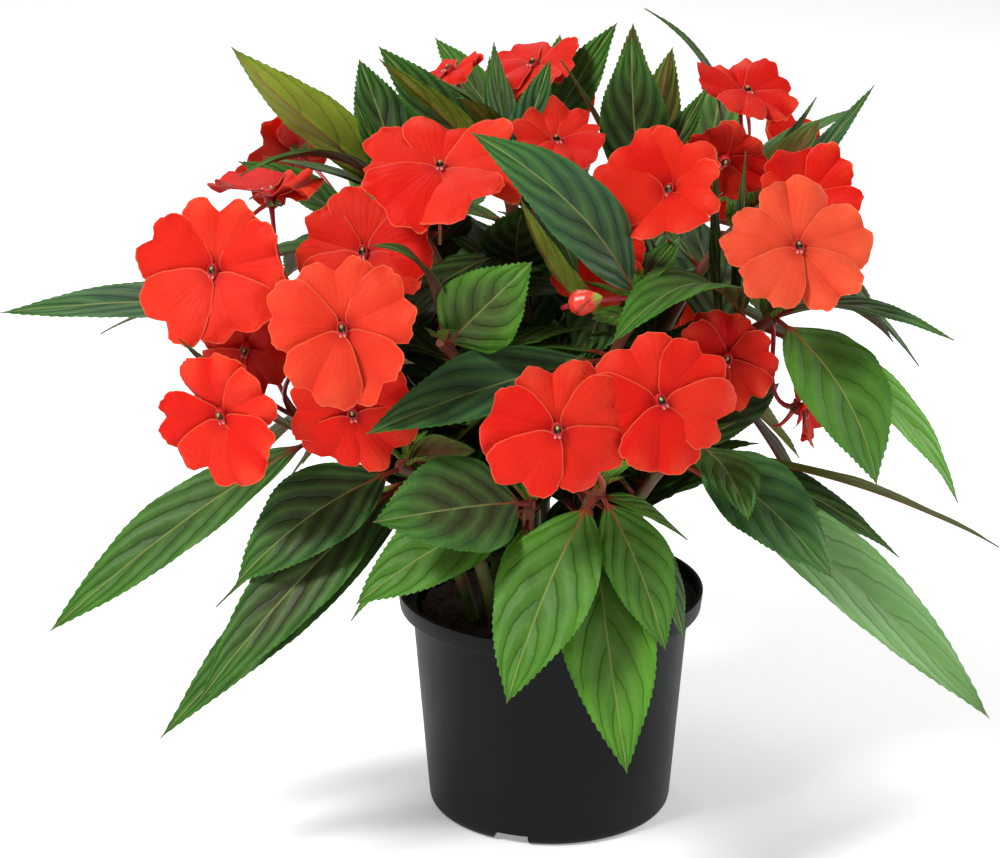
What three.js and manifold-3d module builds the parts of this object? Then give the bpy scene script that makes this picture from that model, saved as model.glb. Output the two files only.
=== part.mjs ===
// A New Guinea impatiens in its nursery pot, in millimetres, +Z up. The origin is the middle of the pot's
// foot, on the surface that it stands on. +Y points to the back of the plant.
// The pot holds a block of potting soil. Leafy stems stand in holes in the soil, and each one carries its
// own leaves and flower stalks. Every flower and bud is a piece of its own on the end of its stalk.
import * as THREE from 'three';
import { mergeVertices } from 'three/addons/utils/BufferGeometryUtils.js';
import Module from 'manifold-3d';

const wasm = await Module();
wasm.setup();

// Driving dimensions, in millimetres
const POT_HEIGHT = 98;
const POT_RIM_RADIUS = 65;
const POT_FOOT_RADIUS = 51.5;
const POT_WALL = 1.6;
const POT_RIM_DEPTH = 8;
const POT_RIM_STEP = 4;
const POT_FLOOR_HEIGHT = 5;
const POT_HEEL_RADIUS = 16;
const POT_SIDES = 24;
const NOTCH_COUNT = 3;
const NOTCH_WIDTH = 19;
const NOTCH_HEIGHT = 4.5;
const NOTCH_TURN = -111.5;
const DRAIN_RADIUS = 5;
const DRAIN_RING = 30;
const DRAIN_COUNT = 5;
const SOIL_TOP = 88;
const SOIL_RELIEF = 2.2;
const STEM_RADIUS = 2.8;
const STEM_ROOT_DEPTH = 14;
const STALK_RADIUS = 1.1;
const LEAF_THICKNESS = 0.7;
const LEAF_STALK_SHARE = 0.1;
const LEAF_STALK_HALF_WIDTH = 0.9;
const LEAF_STALK_THICKNESS = 1.7;
const LEAF_FOLD = 0.16;
const PETAL_THICKNESS = 0.65;
const PETAL_HALF_SHARE = 0.52;
const CLEARANCE = 0.35;

const UP = new THREE.Vector3(0, 0, 1);
const vec = (xyz) => new THREE.Vector3(...xyz);

// A closed geometry as a solid, and a solid as a geometry
function solid(geometry) {
  const bare = geometry.index ? geometry.toNonIndexed() : geometry;
  bare.deleteAttribute('normal');
  bare.deleteAttribute('uv');
  const merged = mergeVertices(bare, 1e-4);
  const triVerts = new Uint32Array(merged.index.array);
  const made = new wasm.Manifold(
    new wasm.Mesh({ numProp: 3, vertProperties: merged.attributes.position.array, triVerts }),
  );
  if (made.volume() > 0) return made;
  for (let i = 0; i < triVerts.length; i += 3) {
    [triVerts[i + 1], triVerts[i + 2]] = [triVerts[i + 2], triVerts[i + 1]];
  }
  return new wasm.Manifold(
    new wasm.Mesh({ numProp: 3, vertProperties: merged.attributes.position.array, triVerts }),
  );
}

function geometryOf(made) {
  const mesh = made.getMesh();
  const position = new Float32Array(mesh.numVert * 3);
  for (let i = 0; i < mesh.numVert; i++) {
    position.set(mesh.vertProperties.subarray(i * mesh.numProp, i * mesh.numProp + 3), i * 3);
  }
  const geometry = new THREE.BufferGeometry();
  geometry.setAttribute('position', new THREE.BufferAttribute(position, 3));
  geometry.setIndex(new THREE.BufferAttribute(mesh.triVerts, 1));
  geometry.computeVertexNormals();
  return geometry;
}

const fuse = (solids) => solids.reduce((whole, next) => whole.add(next));

// A blade between two like layers of points, joined round its edge
function bladeSolid(top, bottom, faces, edge) {
  const n = top.length;
  const position = new Float32Array([...top, ...bottom].flatMap((p) => p.toArray()));
  const index = [];
  for (const [a, b, c] of faces) index.push(a, b, c, a + n, c + n, b + n);
  edge.forEach((a, i) => {
    const b = edge[(i + 1) % edge.length];
    index.push(b, a, a + n, b, a + n, b + n);
  });
  const geometry = new THREE.BufferGeometry();
  geometry.setAttribute('position', new THREE.BufferAttribute(position, 3));
  geometry.setIndex(index);
  return solid(geometry);
}

// A round tube along a curve
function tube(curve, radius, sides, steps) {
  const section = new THREE.Shape();
  for (let i = 0; i < sides; i++) {
    const angle = (i / sides) * 2 * Math.PI;
    section[i ? 'lineTo' : 'moveTo'](radius * Math.cos(angle), radius * Math.sin(angle));
  }
  return solid(
    new THREE.ExtrudeGeometry(section, { steps, bevelEnabled: false, extrudePath: curve }),
  );
}

// The pot: a tapered shell with a stepped rim. It stands on a ring and on the flat middle of its floor.
// The floor between them is raised and has drain holes, and notches in the ring let the water out.
function potSolid() {
  const rimInner = POT_RIM_RADIUS - POT_RIM_STEP;
  const outer = [
    [0, 0],
    [POT_HEEL_RADIUS, 0],
    [POT_HEEL_RADIUS + 3, POT_FLOOR_HEIGHT - POT_WALL],
    [POT_FOOT_RADIUS - 6, POT_FLOOR_HEIGHT - POT_WALL],
    [POT_FOOT_RADIUS - 5, 0],
    [POT_FOOT_RADIUS - 2, 0],
    [POT_FOOT_RADIUS, 3],
    [rimInner - 2, POT_HEIGHT - POT_RIM_DEPTH],
    [POT_RIM_RADIUS - 0.8, POT_HEIGHT - POT_RIM_DEPTH],
    [POT_RIM_RADIUS, POT_HEIGHT],
    [POT_RIM_RADIUS - 2, POT_HEIGHT],
    [POT_RIM_RADIUS - 2.6, POT_HEIGHT - POT_RIM_DEPTH + POT_WALL],
    [rimInner - 2 - POT_WALL, POT_HEIGHT - POT_RIM_DEPTH + POT_WALL],
    [POT_FOOT_RADIUS - POT_WALL, POT_FLOOR_HEIGHT],
    [0, POT_FLOOR_HEIGHT],
  ].map(([r, z]) => new THREE.Vector2(r, z));
  const shell = new THREE.LatheGeometry(outer, POT_SIDES).rotateX(Math.PI / 2);
  let made = solid(shell);
  for (let i = 0; i < NOTCH_COUNT; i++) {
    const notch = new THREE.BoxGeometry(16, NOTCH_WIDTH, NOTCH_HEIGHT * 2);
    notch.translate(POT_FOOT_RADIUS - 1, 0, 0);
    notch.rotateZ(THREE.MathUtils.degToRad(NOTCH_TURN + (i * 360) / NOTCH_COUNT));
    made = made.subtract(solid(notch));
  }
  for (let i = 0; i < DRAIN_COUNT; i++) {
    const drain = new THREE.CylinderGeometry(DRAIN_RADIUS, DRAIN_RADIUS, 3 * POT_FLOOR_HEIGHT, 6);
    drain.rotateX(Math.PI / 2);
    const angle = (i / DRAIN_COUNT) * 2 * Math.PI;
    drain.translate(DRAIN_RING * Math.cos(angle), DRAIN_RING * Math.sin(angle), 0);
    made = made.subtract(solid(drain));
  }
  return made;
}

// The stems' paths: straight up out of the soil, then leaning out to the growing tip
class StemPath extends THREE.Curve {
  constructor(foot, tip) {
    super();
    this.foot = vec([...foot, SOIL_TOP - STEM_ROOT_DEPTH]);
    this.tip = vec(tip);
    const rise = this.tip.clone().sub(this.foot);
    this.bend = this.foot.clone().add(rise.multiply(vec([0.15, 0.15, 0.75])));
  }
  getPoint(t, target = new THREE.Vector3()) {
    target.copy(this.foot).multiplyScalar((1 - t) ** 2);
    target.addScaledVector(this.bend, 2 * t * (1 - t));
    return target.addScaledVector(this.tip, t * t);
  }
}

// The soil block: the pot's inside, with a loose uneven top and a hole for each stem
function soilSolid(stems) {
  const wall = POT_WALL + CLEARANCE;
  const wallTop = POT_RIM_RADIUS - POT_RIM_STEP - 2 - wall;
  const slope = (wallTop - POT_FOOT_RADIUS + wall) / (POT_HEIGHT - POT_RIM_DEPTH - POT_FLOOR_HEIGHT);
  const inner = (z) => POT_FOOT_RADIUS - wall + slope * (z - POT_FLOOR_HEIGHT) - 0.3;
  const bottom = POT_FLOOR_HEIGHT + CLEARANCE;
  const profile = [[0, bottom], [inner(bottom), bottom], [inner(SOIL_TOP - 3), SOIL_TOP - 3],
    [44, SOIL_TOP], [22, SOIL_TOP], [0, SOIL_TOP]];
  const block = new THREE.LatheGeometry(profile.map(([r, z]) => new THREE.Vector2(r, z)), 16);
  block.rotateX(Math.PI / 2);
  const position = block.attributes.position;
  for (let i = 0; i < position.count; i++) {
    if (position.getZ(i) < SOIL_TOP - 0.1) continue;
    const [x, y] = [position.getX(i), position.getY(i)];
    const lump = Math.sin(x * 0.31 + 1.7) * Math.cos(y * 0.27 - 0.6) + 0.5 * Math.sin((x - y) * 0.53);
    position.setZ(i, SOIL_TOP + SOIL_RELIEF * 0.6 * lump);
  }
  const holes = stems.map((path) => {
    const top = path.getPoint(0.16);
    const hole = new THREE.LineCurve3(path.foot.clone().addScaledVector(UP, -CLEARANCE), top);
    return tube(hole, STEM_RADIUS + 1, 5, 1);
  });
  return holes.reduce((made, hole) => made.subtract(hole), solid(block));
}

// The midrib of a leaf is a curve from its stem to its tip that arches towards the side that the leaf faces
function leafFrame(leaf, start) {
  const chord = leaf.tip.clone().sub(start);
  const along = chord.clone().normalize();
  const lift = leaf.face.clone().addScaledVector(along, -leaf.face.dot(along)).normalize();
  const across = along.clone().cross(lift);
  const second = start.clone().addScaledVector(chord, 1 / 3).addScaledVector(lift, leaf.arch[0]);
  const third = start.clone().addScaledVector(chord, 2 / 3).addScaledVector(lift, leaf.arch[1]);
  const midrib = new THREE.CubicBezierCurve3(start, second, third, leaf.tip);
  return (s) => {
    const normal = across.clone().cross(midrib.getTangent(s));
    return { point: midrib.getPoint(s), side: across, normal };
  };
}

// Share of a leaf's half width, from its stalk to its tip
function leafOutline(x) {
  return (x ** 0.9 * (1 - x) ** 1.15) / (0.44 ** 0.9 * 0.56 ** 1.15);
}

// A lance-shaped leaf with a toothed edge and a raised fold on both sides of its midrib
function leafSolid(leaf, start) {
  const frame = leafFrame(leaf, start);
  const teeth = leaf.width < 21 ? 2 : 3;
  const middle = teeth < 3 ? [0, 0.4, 1] : [0, 0.3, 0.65, 1];
  const toothDepth = leaf.width < 20 ? 0.6 : 1;
  const edge = [];
  for (let k = 0; k < teeth; k++) {
    const span = (1 - LEAF_STALK_SHARE) / (teeth + 0.25);
    edge.push([LEAF_STALK_SHARE + span * (k + 0.45), -0.5 * toothDepth]);
    edge.push([LEAF_STALK_SHARE + span * (k + 0.95), toothDepth]);
  }
  const top = [];
  const bottom = [];
  const place = (s, share, tooth) => {
    const at = frame(s);
    const x = Math.max(0, (s - LEAF_STALK_SHARE) / (1 - LEAF_STALK_SHARE));
    const half = leaf.width * 0.5 * leafOutline(x) + LEAF_STALK_HALF_WIDTH * (1 - x) + tooth;
    const thick = s > 0 ? LEAF_THICKNESS : LEAF_STALK_THICKNESS;
    const point = at.point.clone().addScaledVector(at.side, share * half);
    if (x > 0) point.addScaledVector(at.normal, Math.abs(share) * half * LEAF_FOLD);
    top.push(point.clone().addScaledVector(at.normal, thick / 2));
    bottom.push(point.clone().addScaledVector(at.normal, -thick / 2));
    return top.length - 1;
  };
  const mid = middle.map((s) => place(s, 0, 0));
  const tip = mid[mid.length - 1];
  const sides = [1, -1].map((share) => {
    const toothed = edge.map(([s, tooth]) => place(s, share, tooth));
    return [mid[0], ...toothed, tip];
  });
  const edgeAt = [0, ...edge.map(([s]) => s), 1];
  const faces = [];
  sides.forEach((side, which) => {
    let [i, j] = [0, 0];
    while (i < mid.length - 1 || j < side.length - 1) {
      const outer = j < side.length - 1 && (i === mid.length - 1 || edgeAt[j + 1] <= middle[i + 1]);
      const face = outer ? [mid[i], side[j], side[j + 1]] : [mid[i], side[j], mid[i + 1]];
      if (outer) j++;
      else i++;
      if (new Set(face).size === 3) faces.push(which ? face.reverse() : face);
    }
  });
  const rim = [...sides[0], ...sides[1].slice(1, -1).reverse()];
  return bladeSolid(top, bottom, faces, rim);
}

// A stalk from a stem to the back of a flower or bud, which it meets along the flower's own axis
function stalkSolid(path, item, backLength) {
  const axis = item.face.clone().normalize();
  const start = path.getPoint(item.on);
  const back = item.at.clone().addScaledVector(axis, -backLength - CLEARANCE);
  const reach = start.distanceTo(back) * 0.45;
  const second = start.clone().addScaledVector(path.getTangent(item.on), reach);
  const third = back.clone().addScaledVector(axis, -reach);
  return tube(new THREE.CubicBezierCurve3(start, second, third, back), STALK_RADIUS, 3, 4);
}

// A flower's petals: turn from the top, how far in front of each other they lie, share of length and width
const PETALS = [
  { turn: 0, layer: -1, length: 0.94, width: 1.14 },
  { turn: 72, layer: 0, length: 1, width: 1 },
  { turn: -72, layer: 0, length: 1, width: 1 },
  { turn: 144, layer: 1, length: 1, width: 1.06 },
  { turn: -144, layer: 2, length: 1, width: 1.06 },
];
const PETAL_LAYER_GAP = 1.4;
// The tube that the petals grow on, as radius and height: it starts at the stalk and ends as the column
const FLOWER_HUB = [[0, -4], [1.3, -4], [3.4, -2], [3.4, 3.4], [0, 6.5]];

// A petal's outline seen from the front, as shares of its length and half width. It is arched along the
// middle, from its root to the notch in its edge.
const PETAL_NOTCH = 0.89;
const PETAL_OUTLINE = [[0.03, 0], [0.68, 1], [0.99, 0.62], [PETAL_NOTCH, 0], [0.99, -0.62], [0.68, -1]];
const PETAL_FACES = [[0, 1, 3], [1, 2, 3], [0, 3, 5], [3, 4, 5]];
const PETAL_ARCH = 1.2;
const PETAL_RISE = 0.1;
const PETAL_DROOP = 0.0055;

function petalSolid(petal, radius, cup) {
  const length = radius * petal.length;
  const half = radius * PETAL_HALF_SHARE * petal.width;
  const points = PETAL_OUTLINE.map(([along, across]) => {
    const r = along * length;
    const w = across * half;
    const arch = along === PETAL_NOTCH ? PETAL_ARCH : 0;
    const curve = (PETAL_RISE + cup) * r - PETAL_DROOP * (r * r + w * w) + arch;
    return new THREE.Vector3(w, r, petal.layer * PETAL_LAYER_GAP + curve);
  });
  const turn = THREE.MathUtils.degToRad(-petal.turn);
  const [front, back] = [0.5, -0.5].map((share) => points.map((point) => (
    point.clone().addScaledVector(UP, share * PETAL_THICKNESS).applyAxisAngle(UP, turn))));
  return bladeSolid(front, back, PETAL_FACES, PETAL_OUTLINE.map((_, i) => i));
}

// The turn from a flower's own frame, with its face along +Z and its top petal along +Y, to where it looks
function flowerMatrix(flower) {
  const face = flower.face.clone().normalize();
  const right = UP.clone().cross(face).normalize();
  const top = face.clone().cross(right);
  const made = new THREE.Matrix4().makeBasis(right, top, face);
  made.multiply(new THREE.Matrix4().makeRotationZ(THREE.MathUtils.degToRad(flower.spin)));
  return made.setPosition(flower.at);
}

// A flower: five petals in layers on a short tube, with the column in its throat and the long spur behind
function flowerSolid(flower) {
  const radius = flower.size / 2;
  const profile = FLOWER_HUB.map(([r, z]) => new THREE.Vector2(r, z));
  const hub = new THREE.LatheGeometry(profile, 5).rotateX(Math.PI / 2);
  const spur = new THREE.QuadraticBezierCurve3(
    vec([0, -1, -2.5]), vec([0, -11, -7]), vec([0, -radius * 0.62, -3 - radius * 0.5]));
  const pieces = [solid(hub), tube(spur, 0.9, 3, 2)];
  for (const petal of PETALS) pieces.push(petalSolid(petal, radius, flower.cup));
  return fuse(pieces);
}

// A bud: a pointed drop with its petals still wrapped, widest near its stalk
const BUD_PROFILE = [[0, 0], [0.24, 0.04], [0.36, 0.3], [0.3, 0.6], [0.12, 0.88], [0, 1]];

function budSolid(bud) {
  const profile = BUD_PROFILE.map(([r, z]) => new THREE.Vector2(r * bud.size, z * bud.size));
  return solid(new THREE.LatheGeometry(profile, 7).rotateX(Math.PI / 2));
}

// Each stem's foot in the soil, its growing tip, and what it carries. A leaf gives its place along the
// stem, its tip, its width, the lift of its arch near the stalk and near the tip, and the way that its upper
// side faces. A flower gives its place along the stem, its middle, its face, its size across, its turn and
// how steeply its petals rise to a cup.
const leaf = (on, tip, width, arch, face) => ({ on, tip: vec(tip), width, arch, face: vec(face) });
const flower = (on, at, face, size, spin = 0, cup = 0) => (
  { on, at: vec(at), face: vec(face), size, spin, cup });

const STEMS = [
  {
    name: 'low_left', foot: [-22, -22], tip: [-62, -55, 171],
    leaves: [
      leaf(0.97, [-127, -75, 128], 34, [16, 14], [0, -0.7, 0.7]),
      leaf(0.9, [-141, -95, 86], 30, [10, 8], [-0.2, -0.75, 0.55]),
      leaf(0.8, [-160, -72, 59], 28, [6, 8], [-0.2, -0.6, 0.7]),
      leaf(0.85, [-139, -38, 103], 15, [12, 8], [-0.3, 0, 1]),
      leaf(1, [-31, -68, 182], 15, [8, 4], [0, 0.85, 0.5]),
    ],
  },
  {
    name: 'left_lower', foot: [-31, -13], tip: [-96, -28, 178],
    leaves: [
      leaf(0.96, [-205, -60, 101], 28, [16, 12], [-0.1, -0.6, 0.8]),
      leaf(0.9, [-146, -80, 232], 22, [-14, -6], [0.2, 0.1, 1]),
      leaf(1, [-93, -66, 204], 9, [2, 2], [0, -0.8, 0.5]),
    ],
    flowers: [
      flower(0.98, [-129, -85, 203], [-0.35, -0.9, -0.1], 56, 20),
      flower(1, [-123, -42, 217], [-0.2, -0.85, -0.3], 40, -10),
      flower(0.95, [-79, -82, 203], [0.05, -0.95, -0.15], 50, 10),
      flower(1, [-81, -100, 242], [-0.1, -0.97, 0.2], 60, 8),
    ],
  },
  {
    name: 'left', foot: [-25, -2], tip: [-102, -32, 234],
    leaves: [
      leaf(0.66, [-142, 32, 120], 32, [16, 14], [-0.3, 0.1, 0.9]),
      leaf(0.92, [-224, -25, 226], 20, [12, 8], [0, -0.5, 0.85]),
      leaf(0.85, [-186, -8, 212], 12, [16, 18], [0, 0.2, 1]),
    ],
    flowers: [
      flower(0.98, [-133, -58, 253], [-0.32, -0.9, 0.25], 64, 0),
      flower(0.95, [-114, -16, 272], [-0.1, 0.12, 1], 48, 40, 0.2),
    ],
  },
  {
    name: 'high_left', foot: [-16, 2], tip: [-64, -5, 268],
    leaves: [
      leaf(0.72, [-136, 34, 168], 32, [16, 14], [-0.3, 0.1, 0.9]),
      leaf(0.88, [-129, -5, 331], 32, [8, -6], [0.4, 0.75, 0.5]),
      leaf(0.94, [-79, 15, 322], 24, [3, 0], [0.3, -0.85, 0.2]),
      leaf(0.99, [-79, -15, 310], 10, [2, 0], [0.3, -0.7, 0.3]),
      leaf(0.79, [-119, 15, 281], 14, [20, 10], [0, 0.1, 1]),
      leaf(0.91, [-125, -30, 284], 18, [22, 24], [0, 0.2, 1]),
    ],
    flowers: [
      flower(0.975, [-45, -45, 290], [0, -0.52, 0.85], 68, 0),
      flower(0.84, [-75, -50, 258], [-0.15, -0.9, 0.4], 56, 0),
    ],
  },
  {
    name: 'top_left', foot: [-6, 4], tip: [-19, 12, 274],
    leaves: [
      leaf(0.98, [-71, 12, 328], 20, [8, 6], [-0.2, -0.75, 0.5]),
      leaf(0.9, [-70, -5, 326], 15, [8, 4], [0.2, 0.6, 0.5]),
      leaf(0.96, [-24, 25, 327], 14, [3, -3], [0.5, -0.6, 0.1]),
      leaf(0.87, [-26, 42, 318], 13, [3, 0], [0, -0.9, 0.1]),
      leaf(0.93, [-47, -10, 319], 13, [14, 12], [0.3, 0, 1]),
      leaf(1, [-39, -22, 314], 13, [10, 10], [0, 0.3, 1]),
      leaf(0.94, [-1, 14, 322], 15, [2, 0], [-0.2, -0.9, 0.1]),
      leaf(0.84, [9, -58, 250], 15, [14, 14], [0.1, 0, 1]),
      leaf(0.7, [-12, -14, 268], 28, [4, 2], [-0.1, -1, 0.1]),
    ],
    flowers: [
      flower(0.96, [1, -8, 292], [0.1, -0.6, 0.8], 39, 15),
    ],
  },
  {
    name: 'top', foot: [8, 2], tip: [37, 2, 262],
    leaves: [
      leaf(0.7, [96, 34, 226], 28, [12, 10], [0.2, 0.1, 1]),
      leaf(1, [31, -10, 336], 27, [-3, 2], [-0.15, -1, 0.1]),
      leaf(0.93, [33, 25, 335], 22, [4, 0], [0.2, 0.9, 0.2]),
      leaf(0.9, [49, 20, 326], 22, [2, -2], [0, 0.9, 0.2]),
      leaf(0.96, [62, -5, 315], 12, [3, 2], [-0.2, -0.8, 0.4]),
      leaf(0.87, [3, 14, 322], 10, [10, 8], [0.4, 0.2, 0.9]),
      leaf(0.74, [10, -36, 206], 26, [14, 10], [0, -0.6, 0.8]),
    ],
    flowers: [
      flower(0.97, [46, -42, 281], [-0.4, -0.8, 0.45], 50, -20, 0.4),
      flower(0.85, [18, -24, 250], [-0.1, -0.95, 0.2], 40, 10),
    ],
  },
  {
    name: 'high_right', foot: [19, 2], tip: [80, -4, 260],
    leaves: [
      leaf(0.74, [136, 34, 150], 32, [16, 14], [0.3, 0.1, 0.9]),
      leaf(0.62, [118, 30, 100], 30, [14, 12], [0.4, 0, 0.9]),
      leaf(0.92, [132, 20, 310], 12, [-6, -6], [-0.4, -0.5, 0.7]),
      leaf(1, [108, 0, 300], 20, [3, 0], [-0.2, 0.8, 0.5]),
      leaf(0.96, [109, 25, 304], 11, [3, 0], [-0.5, 0, 0.8]),
    ],
    flowers: [
      flower(1, [101, -28, 275], [0.1, -0.8, 0.6], 42, 20, 0.25),
      flower(0.98, [79, 15, 307], [0.2, -0.5, 0.85], 44, 0),
      flower(0.93, [69, -12, 287], [-0.1, -0.9, -0.35], 38, -40),
    ],
  },
  {
    name: 'right', foot: [27, -8], tip: [89, -32, 226],
    leaves: [
      leaf(1, [128, -70, 168], 38, [20, 24], [0.1, -0.5, 0.85]),
      leaf(0.94, [167, -30, 146], 24, [22, 20], [0.2, -0.4, 0.9]),
      leaf(0.88, [143, 10, 203], 26, [26, 20], [0.2, 0, 1]),
      leaf(1, [156, -70, 228], 12, [16, 10], [0, -0.2, 1]),
      leaf(0.86, [76, -29, 294], 9, [2, 1], [-0.9, -0.3, 0]),
      leaf(0.8, [65, -25, 293], 11, [2, 2], [-0.9, -0.3, 0.1]),
      leaf(0.91, [21, -95, 234], 32, [34, 24], [-0.1, -0.2, 1]),
    ],
    flowers: [
      flower(0.9, [69, -56, 217], [-0.2, -0.95, -0.1], 42, 0),
      flower(0.95, [99, -46, 192], [0.9, -0.35, -0.1], 30, 0),
      flower(0.98, [94, -65, 264], [0.1, -0.85, 0.5], 59, 0),
    ],
  },
  {
    name: 'middle_right', foot: [7, -12], tip: [36, -56, 240],
    leaves: [
      leaf(0.95, [-33, -65, 310], 30, [22, 22], [0.4, -0.75, 0.43]),
      leaf(0.85, [-14, -60, 283], 22, [-14, -8], [0.8, 0.5, 0.3]),
      leaf(0.92, [14, -74, 238], 8, [2, 0], [0, -0.6, 0.5]),
      leaf(0.99, [24, -62, 256], 8, [2, 0], [0, -0.6, 0.5]),
      leaf(0.72, [-73, -105, 201], 32, [8, 6], [-0.1, -0.6, 0.8]),
    ],
    buds: [
      flower(0.97, [6, -76, 244], [0.85, -0.35, 0.35], 14, 0),
    ],
  },
  {
    name: 'middle_left', foot: [-9, -12], tip: [-45, -52, 222],
    leaves: [
      leaf(0.97, [-9, -85, 264], 32, [8, 6], [0.3, -0.75, 0.5]),
      leaf(0.98, [-71, -84, 270], 16, [10, 20], [0.6, 0.1, 0.7]),
    ],
  },
  {
    name: 'front', foot: [5, -28], tip: [18, -85, 171],
    leaves: [
      leaf(0.95, [-19, -130, 100], 38, [14, 10], [-0.3, -0.8, 0.5]),
      leaf(0.8, [28, -125, 68], 37, [16, 10], [0.1, -0.85, 0.5]),
      leaf(0.97, [43, -110, 114], 26, [12, 8], [0.2, -0.8, 0.5]),
      leaf(0.85, [52, -75, 104], 18, [16, 14], [0.4, -0.5, 0.7]),
      leaf(0.9, [54, -60, 141], 11, [6, 4], [0, -0.3, 1]),
    ],
    flowers: [
      flower(1, [0, -125, 210], [0, -0.97, 0.2], 58, 0),
    ],
  },
  {
    name: 'low_right', foot: [20, -22], tip: [56, -60, 181],
    leaves: [
      leaf(1, [74, -110, 168], 24, [8, 6], [0.2, -0.4, 0.85]),
      leaf(0.95, [109, -95, 138], 34, [12, 10], [0.2, -0.7, 0.7]),
      leaf(0.86, [178, -70, 67], 34, [18, 14], [0.3, -0.6, 0.7]),
      leaf(0.9, [143, -35, 124], 20, [12, 10], [0.2, -0.3, 0.9]),
      leaf(0.97, [187, -18, 122], 20, [8, 10], [0.1, 0.3, 1]),
      leaf(0.82, [95, 0, 188], 24, [10, 6], [0, -0.5, 0.8]),
    ],
    flowers: [
      flower(1, [39, -115, 218], [0.15, -0.95, 0.25], 58, 30),
    ],
  },
  {
    name: 'front_left', foot: [-10, -27], tip: [-10, -78, 163],
    leaves: [
      leaf(1, [-70, -115, 169], 42, [10, 6], [-0.1, -0.75, 0.65]),
      leaf(0.92, [-78, -100, 129], 32, [12, 10], [-0.2, -0.7, 0.7]),
      leaf(0.87, [-81, -80, 114], 16, [16, 14], [-0.6, -0.3, 0.7]),
      leaf(0.8, [-22, -88, 104], 14, [10, 6], [0, -0.9, 0.4]),
      leaf(0.95, [-66, -72, 156], 26, [8, 6], [-0.1, -0.5, 0.85]),
    ],
  },
  {
    name: 'back_left', foot: [-20, 18], tip: [-78, 62, 235],
    leaves: [
      leaf(0.97, [-152, 80, 205], 30, [10, 8], [-0.2, 0.1, 1]),
      leaf(0.95, [-120, 135, 195], 30, [16, 12], [-0.2, 0.4, 0.9]),
      leaf(1, [-68, 105, 290], 24, [4, 2], [0, -0.7, 0.5]),
      leaf(1, [-132, 45, 272], 22, [4, 2], [0.3, -0.4, 0.8]),
      leaf(0.85, [-165, 105, 140], 30, [18, 12], [-0.3, 0.3, 0.9]),
      leaf(0.85, [-90, 145, 140], 30, [18, 12], [-0.1, 0.6, 0.8]),
    ],
    flowers: [
      flower(1, [-112, 92, 266], [-0.7, 0.6, 0.4], 56, 0),
    ],
  },
  {
    name: 'back_top', foot: [-2, 14], tip: [-10, 82, 262],
    leaves: [
      leaf(0.72, [-4, 142, 146], 28, [16, 12], [0, 0.5, 0.9]),
      leaf(0.78, [-62, 110, 186], 30, [16, 12], [-0.2, 0.4, 0.9]),
      leaf(0.97, [28, 62, 328], 20, [6, 4], [0.2, -0.6, 0.7]),
      leaf(0.99, [-50, 110, 312], 22, [4, 2], [0.2, -0.4, 0.8]),
      leaf(0.95, [-38, 150, 245], 28, [14, 10], [0, 0.4, 0.9]),
      leaf(0.95, [16, 160, 228], 28, [16, 12], [0, 0.5, 0.9]),
      leaf(0.91, [5, 118, 312], 22, [4, 2], [0, -0.7, 0.5]),
    ],
    flowers: [
      flower(0.88, [-7, 60, 309], [-0.3, -0.45, 0.85], 42, 0),
      flower(0.97, [-8, 138, 276], [-0.15, 0.85, 0.5], 58, 0),
      flower(0.95, [-42, 52, 308], [-0.5, -0.2, 0.85], 30, 30),
    ],
  },
  {
    name: 'back_right', foot: [18, 18], tip: [68, 66, 248],
    leaves: [
      leaf(1, [132, 60, 292], 24, [8, 4], [-0.2, 0, 1]),
      leaf(0.95, [150, 112, 185], 30, [10, 8], [0.2, 0.2, 1]),
      leaf(1, [78, 125, 292], 22, [6, 4], [0, -0.3, 1]),
      leaf(0.9, [100, 145, 175], 30, [18, 12], [0.2, 0.5, 0.8]),
      leaf(0.9, [160, 50, 180], 30, [22, 16], [0.3, 0.1, 0.9]),
      leaf(1, [38, 35, 339], 9, [20, 30], [0.7, -0.3, 0.6]),
    ],
    flowers: [
      flower(1, [114, 102, 256], [0.7, 0.65, 0.3], 54, 0),
      flower(0.97, [60, 124, 244], [0.25, 0.9, 0.3], 54, 10),
    ],
  },
  {
    name: 'low_back', foot: [8, 27], tip: [34, 100, 180],
    leaves: [
      leaf(1, [78, 168, 120], 32, [16, 12], [0.3, 0.6, 0.7]),
      leaf(0.97, [22, 178, 118], 32, [16, 12], [0, 0.7, 0.7]),
      leaf(0.9, [118, 130, 110], 30, [18, 14], [0.5, 0.4, 0.8]),
      leaf(0.85, [45, 130, 80], 26, [16, 10], [0.2, 0.8, 0.5]),
    ],
    flowers: [
      flower(1, [52, 142, 192], [0.35, 0.9, 0.15], 58, 0),
    ],
  },
  {
    name: 'low_back_left', foot: [-10, 28], tip: [-42, 100, 176],
    leaves: [
      leaf(1, [-62, 175, 108], 32, [16, 12], [-0.1, 0.7, 0.7]),
      leaf(0.97, [-115, 150, 100], 32, [18, 12], [-0.4, 0.5, 0.8]),
      leaf(0.9, [-118, 100, 110], 28, [18, 12], [-0.6, 0.2, 0.8]),
      leaf(0.85, [-35, 135, 75], 24, [16, 10], [0, 0.8, 0.5]),
    ],
    flowers: [
      flower(1, [-52, 142, 188], [-0.3, 0.9, 0.15], 58, 0),
    ],
  },
];

// Colours from the picture
const paint = (color, roughness) => new THREE.MeshStandardMaterial({ color, roughness, metalness: 0 });
const potPlastic = paint(0x1c1e1f, 0.5);
const darkSoil = paint(0x2a1a14, 0.95);
const leafGreen = paint(0x2f5a24, 0.45);
const flowerRed = paint(0xf0351c, 0.55);

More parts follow.
